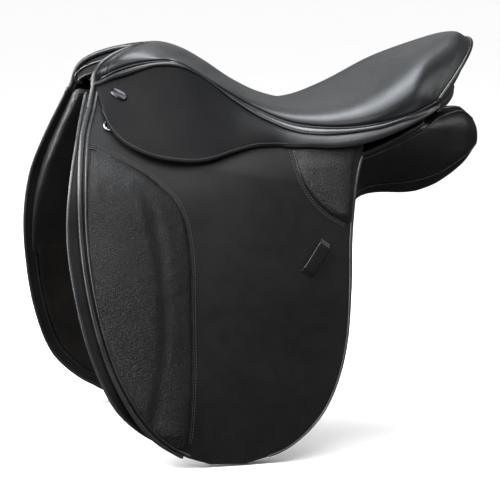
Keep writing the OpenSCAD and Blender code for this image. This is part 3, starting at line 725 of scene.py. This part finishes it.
nS = grid_normals(SKR, (0, -1, 0))
h = (prof * SKIRT / 2)[..., None]
outer, inner = SKR - nS * (SKIRT / 2 - h), SKR - nS * (SKIRT / 2 + h)
urow = np.concatenate([np.full(4, 0.0), ua, np.full(4, 1.0)])
moving = np.zeros((SKR.shape[0] - 1, SKR.shape[1] - 1), bool)
moving[:, n1 - 1:] = (urow[:-1] < SPLIT - 1e-6)[:, None]
for name, mask, body, node in (("skirt_upper", ~moving, "saddle", "skirt_border"),
                               ("skirt_leather", moving, "skirt", "skirt")):
    pair(name, closed(outer, inner, mask), M_SKIRT, body, [node], sharp=60)


def grid_row(P, N, back):
    """Path on a grid at a distance in from its last column."""
    s = np.cumsum(np.linalg.norm(np.diff(P[:, ::-1], axis=1), axis=-1), axis=1)
    out, nor = [], []
    for i in range(len(P)):
        d = np.concatenate([[0], s[i]])
        out.append([np.interp(back, d, P[i, ::-1, c]) for c in range(3)])
        nor.append([np.interp(back, d, N[i, ::-1, c]) for c in range(3)])
    return np.array(out), unit(np.array(nor))


nK = grid_normals(SK, (0, -1, 0))
row, nrow = grid_row(SK, nK, 3.6)
m = ua <= SPLIT
sewn("skirt_stitching", row[m][1:-1], nrow[m][1:-1], "skirt")
sewn("strip_stitching", row[~m][1:-8], nrow[~m][1:-8], "saddle", M_DARK_THREAD)

# oval studs, domed, a little off level
STUD_ROUND, STUD_LONG, NS = 5.2, 5.6, 40  # end radius, half the straight sides, points round
STUD_X, STUD_Z, STUD_TILT = -168, 101, math.radians(-34)
rings = [(1.0, -1.5), (1.0, 0.3), (0.97, 0.9), (0.90, 1.5), (0.74, 2.0), (0.5, 2.35), (0.25, 2.5)]
V0 = []
for sc, up in rings:
    for a in np.linspace(0, 2 * np.pi, NS + 1)[:-1]:
        cx = STUD_ROUND * math.cos(a) + STUD_LONG * np.sign(math.cos(a)) * min(1, abs(math.cos(a)) * 1.6)
        V0.append([cx * sc, STUD_ROUND * math.sin(a) * sc, up])
V0 = np.array(V0 + [[0, 0, 2.55]])
top = (len(rings) - 1) * NS
F0 = quads_round(len(rings), NS).tolist() + [[top + j, top + (j + 1) % NS, len(V0) - 1] for j in range(NS)]
F0.append(list(range(NS))[::-1])
iu = int(np.argmin(np.abs(hx - STUD_X)))
jr = int(np.argmin(np.abs(SK[iu, :n1, 2] - STUD_Z)))
c0, nn = SK[iu, jr], nK[iu, jr]
tx = unit(SK[iu + 2, jr] - SK[iu - 2, jr])
tx = unit(tx - nn * (tx @ nn))
ty = np.cross(nn, tx)
ax1 = tx * math.cos(STUD_TILT) + ty * math.sin(STUD_TILT)
ax2 = ty * math.cos(STUD_TILT) - tx * math.sin(STUD_TILT)
V0 = c0 + V0[:, :1] * ax1 + V0[:, 1:2] * ax2 + V0[:, 2:] * nn
pair("crown_stud_cap", (V0, F0), M_GUN, "saddle", ["crown_stud"], sharp=50)

# ---------------------------------------------------------------- flaps
def flap_top(x):
    return hz(x) - 4.5 + 9 * ss((x - 5) / 85) + 9 * ss((x + 15) / 55)


def scoop(x):
    return ss((x + 170) / 15) * (1 - ss((x + 70) / 15)) * mix(38, 26, (x + 150) / 75)


def flap_xz(s, t):
    """Place on the flap; below t = 0 its front corner runs up to the corner of the seat."""
    rise, t = np.maximum(0, -t) / 0.1, np.maximum(0, t)
    x = mix(sm(flap_o, t, 1), sm(flap_o, t, 3), s)
    z = mix(sm(flap_o, t, 2), sm(flap_o, t, 4), s)
    top = mix(flap_o[0][2], flap_o[0][4], (x - flap_o[0][1]) / (flap_o[0][3] - flap_o[0][1]))
    z = z - np.maximum(0, 1 - t / 0.16) * (scoop(x) + top - flap_top(x))
    rise = rise * (1 - ss((x + 192) / 38))
    return x + 7.5 * rise, z + 23 * rise


tt = np.concatenate([np.linspace(0, 0.8, 90), np.linspace(0.8, 1, 40)[1:]])
sg = np.linspace(0, 1, 110)
Tg, Sg = grid(np.concatenate([np.linspace(-0.1, 0, 14)[:-1], tt]), sg)
X, Z = flap_xz(Sg, Tg)
P = np.stack([X, -w_flap(X, Z), Z], -1)
flaps = pair("flap_leather", slab(P, FLAP, "abcd"), M_SMOOTH, None, ["flap"], "grained_leather", sharp=60)
for ob, s, sg_y in zip(flaps, ("left", "right"), (-1, 1)):
    a = Vector((0.02, sg_y * hw(20.0) / 1000, hz(20.0) / 1000))
    along = Vector((295, sg_y * 86, -60)).normalized()
    dn = Vector((0, 0, -1))
    dn = (dn - along * dn.dot(along)).normalized()
    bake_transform(ob)

t = np.linspace(0.0, 0.955, 170)
x, z = sm(flap_o, t, 1) - 2.2 - 1.0 * ss((t - 0.7) / 0.2), sm(flap_o, t, 2)
p, n = surf(w_flap, x, z, 0.0)
thick = 2.7 - 0.8 * ss((t - 0.85) / 0.1)
roll("flap_edge_roll", p - n * 0.6, thick, 14, body="flap", nodes=["flap_piping"])
x = sm(flap_o, t, 1) + 4.0 + 1.5 * ss((t - 0.7) / 0.2)
roll("flap_inner_roll", surf(w_flap, x, z, 0.5)[0], 1.7, body="flap")
# both go on up the fixed corner above the hinge line; HEAD_ROLL becomes the pommel's roll
q = np.linspace(0, 0.95, 12)
p, n = surf(w_flap, -201.2 + 7.5 * q, 88 + 23 * q)
HEAD_ROLL = p - n * 0.6
q = np.linspace(-0.02, 0.8, 14)
roll("flap_head_inner_roll", surf(w_flap, -195.0 + 7.5 * q, 88 + 23 * q, 0.5)[0], 1.7)
t = np.linspace(0.02, 0.97, 150)
p, n = surf(w_flap, sm(flap_o, t, 3) - 2.2, sm(flap_o, t, 4), 0.1)
roll("flap_rear_roll", p, 1.9 * (1 - 0.4 * ss((t - 0.4) / 0.3)), body="flap")

# knee block
def knee_x(s, z):
    return mix(sm(knee, z, 1), sm(knee, z, 2), s)


zz = mix(43, -268, np.linspace(0, 1, 190))
sg = np.linspace(0, 1, 80)
sg = 0.5 - 0.5 * np.cos(np.pi * sg) * (0.75 + 0.25 * np.abs(np.cos(np.pi * sg)))
Zg, Sg = grid(zz, sg)
X = knee_x(Sg, Zg)
env = np.maximum(0, 4 * Sg * (1 - Sg)) ** 0.5
H0 = 13 * ss((45 - Zg) / 42) ** 0.8 * mix(1, 0.5, ss((-60 - Zg) / 200))
H0 = H0 * np.minimum(1, ss((Zg + 274) / 30) + 0.25)
dg = X - sm(groove, Zg, 1)
fade = ss((12 - Zg) / 30)
hk = H0 * env * (1 - fade * (0.40 * np.exp(-(dg / 8) ** 2) + 0.22 * ss((dg + 2) / 14)))
base, nb = surf(w_flap, X, Zg, 0.4)
pucker = np.exp(-Sg * 60 / 5) * 0.45 * np.sin(Zg * 2.1 + 2 * noise3(base, 11, 3))
pucker = pucker * (0.5 + 0.5 * noise3(base, 7, 5))
wr = 0.35 * noise3(base, 16, 1) + 0.18 * noise3(base, 6, 2)
topk = base + nb * (1.0 + hk + (wr + pucker) * np.minimum(1, env * 1.5))[..., None]
shape = plump(*closed(topk, base - nb * 0.8), 4.0, 2.0, above_flap(6.0))
knee_block = pair("knee_block_pad", shape, M_GRAIN, "flap", ["knee_block"], sharp=75)

# the seam beside it, front top to the rear foot
zr = np.linspace(-262, 43, 160)
kx, kz = sm(knee, zr, 2), zr
kx, kz = np.append(kx, [-204, -210]), np.append(kz, [45.0, 46.0])
for name, off in (("knee_stitching_inner", 2.6), ("knee_stitching_outer", 5.0)):
    sewn(name, *surf(w_flap, *offset(kx, kz, off)), "flap")
roll("knee_welt", surf(w_flap, kx + 0.6, kz, 0.3)[0], 0.9, 8, M_WELT, "flap")

# thigh pad
zz = np.linspace(42, -36.5, 70)
sg = np.linspace(0, 1, 56)
sg = 0.5 - 0.5 * np.cos(np.pi * sg)
Zg, Sg = grid(zz, sg)
X = mix(sm(thigh, Zg, 1), sm(thigh, Zg, 2), Sg)
env = np.maximum(0, 4 * Sg * (1 - Sg)) ** 0.5
hk = 6.5 * env * ss((50 - Zg) / 30) * ss((Zg + 40) / 14)
base, nb = surf(w_flap, X, Zg, 0.4)
wr = 0.28 * noise3(base, 14, 11) + 0.16 * noise3(base, 5, 12)
topk = base + nb * (1.0 + hk + wr * env)[..., None]
shape = plump(*closed(topk, base - nb * 0.8), 4.0, 1.5, above_flap(4.0))
thigh_pad = pair("thigh_pad_cover", shape, M_THIGH_LIT, "flap", ["thigh_pad"], sharp=75)
zr = np.linspace(42, -36, 70)
kx, kz = sm(thigh, zr, 1), zr
for name, off in (("thigh_stitching_inner", 2.4), ("thigh_stitching_outer", 4.8)):
    sewn(name, *surf(w_flap, *offset(kx, kz, off)), "flap")
roll("thigh_welt", surf(w_flap, kx - 0.6, kz, 0.3)[0], 0.9, 8, M_WELT, "flap")

# stirrup leather keeper: a short strap standing off the flap
KEEPER_X, KEEPER_Z, KEEPER_TURN = 27.5, -73.5, math.radians(37)
KEEPER_LONG, KEEPER_WIDE = 21, 6.5  # half lengths
along, wide = np.linspace(-KEEPER_LONG, KEEPER_LONG, 60), np.linspace(-KEEPER_WIDE, KEEPER_WIDE, 12)
Lg, Wg = grid(along, wide)
arch = 3.6 * ss((20.5 - np.abs(Lg)) / 4.5)
x = KEEPER_X + Lg * math.sin(KEEPER_TURN) + Wg * math.cos(KEEPER_TURN)
z = KEEPER_Z + Lg * math.cos(KEEPER_TURN) - Wg * math.sin(KEEPER_TURN)
p, n = surf(w_flap, x, z, 0.0)
P = p + n * (1.2 + arch + 0.3 * (1 - (Wg / KEEPER_WIDE) ** 2))[..., None]
pair("keeper_loop", slab(P, 1.9, "abcd"), M_WELT, "flap", ["keeper"])

# ---------------------------------------------------------------- sweat flaps
def sweat_xz(s, t):
    x = mix(sm(sweat_o, t, 1), sm(sweat_o, t, 3), s)
    z = mix(sm(sweat_o, t, 2), sm(sweat_o, t, 4), s)
    return x, z - np.maximum(0, 1 - t / 0.25) * 42 * ss((x + 198) / 30)


Tg, Sg = grid(tt, np.linspace(0, 1, 90))
X, Z = sweat_xz(Sg, Tg)
P = np.stack([X, -w_sweat(X, Z), Z], -1)
pair("sweat_flap_leather", slab(P, SWEAT, "abcd"), M_SMOOTH, "saddle", ["sweat_flap"], sharp=60)
# its edge roll, down the front, round the foot and up behind
t = np.linspace(0.0, 1, 120)
xo = np.concatenate([sm(sweat_o, t, 1), np.linspace(-105, -65, 10)[1:-1], sm(sweat_o, t, 3)[::-1][:96]])
zo = np.concatenate([sm(sweat_o, t, 2), np.linspace(-276, -277, 10)[1:-1], sm(sweat_o, t, 4)[::-1][:96]])
roll("sweat_flap_roll", resample(surf(w_sweat, xo, zo, -SWEAT / 2)[0], 3.0), 2.2)
# the bordered inner face
p, n = surf(w_sweat, *offset(xo, zo, -11.0), -SWEAT - 0.2)
roll("sweat_inner_roll", resample(p, 3.0), 1.5, 8, M_WELT)
# lining sheet inside that border, rising to meet the foot of the panel
xi, zi = offset(xo, zo, -12.5)
path = np.stack([xi, zi], -1)
k = int(np.argmin(zi))
sides = []
for run in (path[:k + 1], path[k:][::-1]):
    run = run[run[:, 1] < -82]
    s = np.concatenate([[0], np.cumsum(np.linalg.norm(np.diff(run, axis=0), axis=1))])
    q = np.linspace(0, s[-1], 80)
    sides.append(np.stack([np.interp(q, s, run[:, c]) for c in (0, 1)], -1))
q = np.linspace(0, 1, 40)[None, :, None]
g = sides[0][:, None] * (1 - q) + sides[1][:, None] * q
X, Z = g[..., 0], g[..., 1]
P = np.stack([X, -(w_sweat(X, Z) - SWEAT - 2.2 - 6.5 * (1 - ss((-80 - Z) / 70))), Z], -1)
pair("sweat_lining", slab(P, 1.8, "bcd", (0, 1, 0)), M_LINING, sharp=60)

# ---------------------------------------------------------------- panels
front_edge = sweat_o[::-1][:, [2, 1]]


def px(p, z):
    x = mix(PANEL_FRONT, PANEL_REAR, p)
    return x + (sm(front_edge, z, 1) + 6 - PANEL_FRONT) * (1 - ss(p / 0.2))


def pan_out(p, q):
    x = mix(PANEL_FRONT, PANEL_REAR, p)
    z = mix(sm(pan, x, 2), sm(pan, x, 3), q)
    xx = px(p, z)
    g = mix(sm(pan, np.maximum(x, 60), 7), sm(pan, np.maximum(x, 60), 8), q) + 4 * np.sin(np.pi * q)
    return np.stack([xx, -mix(w_sweat(xx, z) - SWEAT - 2, g, ss((x - 62) / 34)), z], -1)


def pan_in(p, q):
    x = float(mix(PANEL_FRONT, PANEL_REAR, p))
    d = pan_out(p, 1.0)
    k = np.array([[0, CHANNEL, sm(pan, x, 1)], [0.35, CHANNEL, sm(pan, x, 6)],
                  [0.65, sm(pan, x, 4), sm(pan, x, 5)], [1, -d[1] - 3, d[2] + 1]], float)
    z = float(sm(k, q, 2))
    return np.array([float(px(p, z)), -float(sm(k, q, 1)), z])


NP, NI, NO = 64, 26, 18
ring = []
for p in np.linspace(0, 1, NP + 1):
    a = [pan_in(p, q) for q in np.linspace(0, 1, NI)]
    b = [pan_out(p, q) for q in np.linspace(1, 0, NO)]
    ring.append(a + b)
end = np.array(ring[-1])
for scale, out in ((0.94, 1.8), (0.82, 3.2), (0.62, 4.2), (0.35, 4.8)):
    ring.append(((end - end.mean(0)) * scale + end.mean(0) + np.array([out, 0, 0])).tolist())
R = np.array([np.asarray(q) for q in ring])
n, m = R.shape[:2]
for i in range(n - 16, n):
    for _ in range(int(34 * ss((i - n + 17) / 12))):
        R[i] = 0.25 * np.roll(R[i], 1, 0) + 0.5 * R[i] + 0.25 * np.roll(R[i], -1, 0)
F = quads_round(n, m).tolist()
# end caps, laced across from the inner to the outer run
lace = np.linspace(0, 1, max(NI, NO))
for i in (0, (n - 1) * m):
    ends = [(i + round(q * (NI - 1)), i + m - 1 - round(q * (NO - 1))) for q in lace]
    for (a, b), (c, d) in zip(ends, ends[1:]):
        f = list(dict.fromkeys([a, c, d, b]))
        if len(f) > 2:
            F.append(f)
PV = R.reshape(-1, 3).copy()
PV += unit(PV - PV.mean(0)) * (0.5 * noise3(PV, 30, 21) + 0.25 * noise3(PV, 12, 22))[:, None]


def panel_free(P):
    """The panel swells inward and at the rear, and stays put along its top and against the sweat flap."""
    x, z = P[:, 0], P[:, 2]
    off = ss((w_sweat(x, z) - SWEAT - 4 + P[:, 1]) / 16)
    return mix(off, 1.0, ss((x - 70) / 30)) * ss((mix(sm(pan, x, 1), sm(pan, x, 2), 0.5) - 6 - z) / 24)


panels = pair("panel_pad", plump(PV, F, 6.0, 3.0, panel_free), M_PANEL, "saddle", ["panel"],
              sharp=180, sub=1)

# strip and welts along the top of the gusset, and its low seam
i0, i1 = int(0.6 * NP), NP + 1
topo, second, low = (resample(R[i0:i1, c], 2.0) for c in (m - 1, m - 3, NI + 3))
pp = np.linspace(0.6, 1.0, len(topo))
outd = unit(np.array([0, -1.0, 0.15]))
fade = 1 - 0.85 * ss((pp - 0.93) / 0.07)
roll("panel_top_roll", topo + outd * 0.8, 2.8 * fade, 12, slot="panel_leather")
roll("panel_second_roll", second + outd * 0.6, 1.5, slot="panel_leather")
roll("panel_low_seam", low + outd * 0.1, 0.8, 8, M_WELT, slot="panel_leather")

# ---------------------------------------------------------------- cantle
vv = np.linspace(-0.97, 0.97, 90)
rib = seat_p(np.ones_like(vv), vv)
make("cantle_piping", *tube(rib + np.array([2.2, 0, -1.2]), 2.2, 12), M_WELT, "saddle",
     ["cantle_binding"])


def facing(v, q):
    """The cantle's back: v across, q down."""
    p = seat_p(np.ones_like(v), v * 0.86)
    b = np.abs(p[..., 1]) / 114
    return np.stack([p[..., 0] - 1 - 22 * q * (1 - b * b) + 3.0 * np.sin(np.pi * q) * (1 - b * b),
                     p[..., 1] * (1 - 0.04 * q), p[..., 2] - 4.4 - (47 - 41 * b * b) * q], -1)


Vg, Qg = grid(np.linspace(-1, 1, 90), np.linspace(0, 1, 26))
make("cantle_back", *slab(facing(Vg, Qg), 3.0, "d", (1, 0, 0)), M_SEAT, "saddle",
     ["cantle_facing"], sharp=60)
foot = facing(vv, np.ones_like(vv))
fade = 1 - 0.8 * ss((np.abs(vv) - 0.90) / 0.07)
for name, by, thick, k in (("roll", [0.6, 0, -1.0], 3.0, 12), ("welt", [1.0, 0, -6.5], 2.0, 10)):
    make(f"cantle_foot_{name}", *tube(foot + np.array(by), thick * fade, k), M_PIPING_LIT)

# pommel front edge: the roll that carries on up from the flaps, a stitched welt, and the facing under them
def front_rib(v, u0, out):
    """A line across the seat at place u0, moved forward by out, with the seat's normals."""
    P = seat_p(np.full_like(v, u0), v)
    t = unit(np.gradient(P, axis=0))
    d = P - seat_p(np.full_like(v, u0 + 0.03), v)
    d = unit(d - t * np.sum(d * t, -1, keepdims=True))
    N = unit(np.cross(t, d))
    return P + d * out, N * np.sign(N[len(N) // 2, 2])


P, N = front_rib(np.linspace(-0.94, 0.94, 120), 0.0, 1.6)
P = resample(np.concatenate([HEAD_ROLL, P, HEAD_ROLL[::-1] * [1, -1, 1]]), 1.5)
for _ in range(3):
    P[1:-1] = P[:-2] * 0.25 + P[1:-1] * 0.5 + P[2:] * 0.25
make("pommel_roll", *tube(P, 2.7, 14), M_PIPING_LIT, "saddle", ["pommel_binding"])
vv = np.linspace(-0.985, 0.985, 120)
P, N = front_rib(vv, 0.030, 0.0)
make("pommel_welt", *tube(P + N * 0.2, 1.0, 10), M_WELT)
make("pommel_stitching", *stitches(*front_rib(vv, 0.038, 0.0)), M_THREAD_LIT)
Kg, Vg = grid(np.linspace(0, 1, 16), np.linspace(-0.97, 0.97, 90))
b, k3 = np.sin(np.pi / 2 * np.abs(Vg)), 0.3
ax = (np.sqrt(b * b + k3 * k3) - k3) / (math.sqrt(1 + k3 * k3) - k3)
az = 1 - np.cos(np.pi / 2 * Vg)
FA = np.stack([mix(-128, -191, ax) + 0.6 - 1.5 * np.sin(np.pi * Kg),
               np.sign(Vg) * (50 - mix(3.9, 17, Kg)) * b,
               mix(152 - mix(3.9, 25, Kg), 117 - mix(0.8, 6, Kg), az)], -1)
make("pommel_facing_leather", *slab(FA, 2.4, "ab", (-1, 0, 0)), M_SKIRT, "saddle", ["pommel_facing"],
     "panel_leather")
for name, line, thick, k in (("facing", FA[-1] + np.array([-0.6, 0, -0.6]), 1.9, 10),
                             ("inner", FA[6] + np.array([-2.0, 0, 0]), 1.2, 8)):
    make(f"pommel_{name}_roll", *tube(line, thick, k), M_WELT)

# ---------------------------------------------------------------- underside and straps
xs = np.linspace(-100, 230, 60)
ys = np.linspace(-CHANNEL, CHANNEL, 24)
Xg, Yg = grid(xs, ys)
P = np.stack([Xg, Yg, sm(pan, Xg, 1) + 4.5], -1)
make("channel_lining_leather", *slab(P, 2.5, "ab", (0, 0, 1)), M_LINING, "saddle", ["channel_lining"])


STRAPS = (("front", -42.0), ("middle", -8.0), ("rear", 26.0))
STRAP_T, STRAP_HALF = 4.0, 13
HOLES = [-100 - 18 * i for i in range(7)]


def w_strap(z):
    return w_flap(-8.0, z) - 14


def strap_shape(x0):
    z = np.concatenate([np.linspace(40, -215, 120), np.linspace(-215, -232, 14)[1:]])
    half = STRAP_HALF * np.sqrt(np.clip(1 - (np.maximum(0, -z - 219) / 16) ** 2, 0.08, 1))
    Zg, Sg = grid(z, np.linspace(-1, 1, 14))
    return slab(np.stack([x0 + Sg * half[:, None], -w_strap(Zg), Zg], -1), STRAP_T, "abcd")


def punch(ob, x0, sgn):
    """Cuts the strap's row of holes."""
    pins = [[[x0, sgn * w_strap(z) + y, z] for y in (-14, 14)] for z in HOLES]
    cutter = make("cutter", *join(*(tube(pin, 2.5, 24, ends=False) for pin in pins)), M_STEEL, None)
    mod = ob.modifiers.new("holes", "BOOLEAN")
    mod.object, mod.operation, mod.solver = cutter, "DIFFERENCE", "EXACT"
    me = bpy.data.meshes.new_from_object(ob.evaluated_get(bpy.context.evaluated_depsgraph_get()))
    ob.modifiers.clear()
    ob.data = me
    bpy.data.objects.remove(cutter)


for name, x0 in STRAPS:
    two = pair(f"strap_{name}_leather", strap_shape(x0), M_SMOOTH, "girth_straps",
               [f"strap_{name}"], sharp=50)
    for ob, sgn in zip(two, (-1, 1)):
        punch(ob, x0, sgn)
    z = np.linspace(36, -214, 120)
    n = unit(np.stack([0 * z, -np.ones_like(z), w_strap(z - 0.5) - w_strap(z + 0.5)], -1))
    for e, tag in ((-1, "a"), (1, "b")):
        p = np.stack([np.full_like(z, x0 + e * 10.2), -w_strap(z), z], -1)
        sewn(f"strap_{name}_stitching_{tag}", p, n, "girth_straps", pitch=3.6, length=2.6)

# buckle guard: a flat sleeve round the straps
GUARD_X, GUARD_OUT = -8, 4.6
zz = np.linspace(-20, -105, 40)
k = 96
th = np.arange(k) * 2 * np.pi / k
half_w, half_t = 34 + STRAP_HALF + 5, STRAP_T / 2 + GUARD_OUT
cx = np.sign(np.cos(th)) * np.abs(np.cos(th)) ** 0.16
cy = np.sign(np.sin(th)) * np.abs(np.sin(th)) ** 0.5
V0 = [[GUARD_X + (half_w - shrink) * a, (half_t - shrink) * b - w_strap(z) + 2, z]
      for shrink in (0.0, 1.7) for z in zz for a, b in zip(cx, cy)]
nz, o = len(zz), len(zz) * k
F = quads_round(nz, k)
F = np.concatenate([F, F[:, ::-1] + o]).tolist()
for i in (0, (nz - 1) * k):
    F += [[i + j, o + i + j, o + i + (j + 1) % k, i + (j + 1) % k] for j in range(k)]
pair("buckle_guard_sleeve", (V0, F), M_SMOOTH, "buckle_guard", ["buckle_guard"], sharp=50)
for z, tag in ((-24.0, "top"), (-101.0, "foot")):
    p = np.array([[GUARD_X + a, -(w_strap(z) + GUARD_OUT), z] for a in np.linspace(-46, 46, 60)])
    sewn(f"guard_stitching_{tag}", p, np.tile([0, -1.0, 0], (60, 1)), "buckle_guard", pitch=3.4, length=2.4)

# girth webbing, point pockets and inner blocks
Xg, Qg = grid(np.linspace(-62, 48, 40), np.linspace(0, 1, 24))
W = mix(w_flap(Xg, 50.0) - 14, 66, Qg)
P = np.stack([Xg, -W, mix(46, 60, Qg) + 1.5], -1)
pair("girth_webbing", slab(P, 1.5, "", (0, 0, 1)), M_WEB, "saddle", ["girth_web"])
zz, ss_ = np.linspace(30, -4, 30), np.linspace(-1, 1, 24)
Zg, Sg = grid(zz, ss_)
half = 19 * np.sqrt(np.clip(1 - (np.maximum(0, -Zg + 8) / 16) ** 2, 0.15, 1))
X = -136 + Sg * half
P = np.stack([X, -(w_flap(X, Zg) - 9), Zg], -1)
pair("point_pocket_leather", slab(P, 1.8, "abcd"), M_SMOOTH, "saddle", ["point_pocket"])
zz, ss_ = np.linspace(-28, -172, 80), np.linspace(0, 1, 36)
Zg, Sg = grid(zz, ss_)
X = -150 + 28 * Sg + 8 * (-30 - Zg) / 17.5
env = np.maximum(0, 4 * Sg * (1 - Sg)) ** 0.55
env = env * np.clip(np.sin(np.pi * np.clip((-28 - Zg) / 144, 0, 1)), 0, 1) ** 0.6
base, nb = surf(w_sweat, X, Zg, 0.6)
topk = base + nb * (0.9 + 7.4 * env + 0.3 * noise3(base, 12, 31) * env)[..., None]
shape = closed(topk, base - nb * 0.5)
inner_block = pair("inner_block_pad", shape, M_GRAIN, "saddle", ["inner_block"], sharp=75)

# ---------------------------------------------------------------- floor, light and camera
FLOOR_Z, FLOOR_SIZE = cad_box[0][2] - 0.002, 40.0
me = bpy.data.meshes.new("floor")
me.from_pydata([(a * FLOOR_SIZE, b * FLOOR_SIZE, FLOOR_Z) for a, b in ((-1, -1), (1, -1), (1, 1), (-1, 1))],
               [], [(0, 1, 2, 3)])
floor = bpy.data.objects.new("floor", me)
SCENE.collection.objects.link(floor)
L = Look("studio_floor")
L.put(Base_Color=L.tint(L.noise(3.0, 2.0), (0.87, 0.87, 0.87), (0.89, 0.89, 0.89)), Roughness=0.8,
      Specular_IOR_Level=0.2)
me.materials.append(L.m)


def area(name, loc, size, power, colour=(1, 1, 1), aim=(0, -0.05, -0.03)):
    d = bpy.data.lights.new(name, "AREA")
    d.shape, d.size, d.size_y = "RECTANGLE", size[0], size[1]
    d.energy, d.color = power, colour
    ob = bpy.data.objects.new(name, d)
    ob.location = loc
    ob.rotation_euler = (Vector(aim) - Vector(loc)).to_track_quat("-Z", "Y").to_euler()
    SCENE.collection.objects.link(ob)


area("left_high_box", (-1.5, -0.4, 1.2), (0.8, 0.8), 23)
area("left_back_box", (-1.5, 0.9, 0.5), (0.8, 0.8), 17)
area("left_low_box", (-1.9, -0.5, 0.2), (0.5, 1.0), 13)
area("top_back_box", (0.1, 0.7, 1.75), (1.0, 0.7), 17, (0.90, 0.95, 1.0))
area("top_box", (0.0, -0.1, 1.9), (1.0, 1.0), 14, (0.92, 0.96, 1.0))
area("front_box", (-0.4, -1.7, 1.2), (1.2, 0.7), 6)
area("front_high_box", (-0.35, -1.2, 1.6), (1.6, 0.4), 6)
area("right_box", (1.5, -0.4, 1.2), (0.8, 0.8), 4.5)
area("right_front_box", (1.4, -1.4, 0.3), (0.7, 0.8), 1.5)
area("back_box", (0.3, 1.9, 1.0), (1.6, 0.8), 1.5, aim=(0, 0, 0))
# the floor throws no light back on the saddle
floor.visible_diffuse = floor.visible_glossy = False
# a soft sun on the floor alone keeps it pale and even
sun = bpy.data.lights.new("floor_sun", "SUN")
sun.energy, sun.angle = 3.4, math.radians(70)
sun_ob = bpy.data.objects.new("floor_sun", sun)
SCENE.collection.objects.link(sun_ob)
lit = bpy.data.collections.new("floor_only")
lit.objects.link(floor)
sun_ob.light_linking.receiver_collection = lit

# white behind the saddle, and little light from it
world = bpy.data.worlds.new("studio")
SCENE.world = world
world.use_nodes = True
wt = world.node_tree
bg = wt.nodes["Background"]
bg.inputs[0].default_value = (1, 1, 1, 1)
seen = wt.nodes.new("ShaderNodeLightPath")
level = wt.nodes.new("ShaderNodeMapRange")
level.inputs["To Min"].default_value, level.inputs["To Max"].default_value = 0.07, 1.0
wt.links.new(seen.outputs["Is Camera Ray"], level.inputs["Value"])
wt.links.new(level.outputs["Result"], bg.inputs[1])
SCENE.view_settings.view_transform = "Standard"

cam = bpy.data.cameras.new("camera")
cam.lens, cam.sensor_width = 156.5, 36.0
camera = bpy.data.objects.new("camera", cam)
SCENE.collection.objects.link(camera)
az, el, dist, target = math.radians(-16.5), math.radians(8.0), 2.5, Vector((0, 0, -0.085))
back = Vector((math.sin(az) * math.cos(el), -math.cos(az) * math.cos(el), math.sin(el)))
camera.location = target + back * dist
camera.rotation_euler = (-back).to_track_quat("-Z", "Y").to_euler()
SCENE.camera = camera
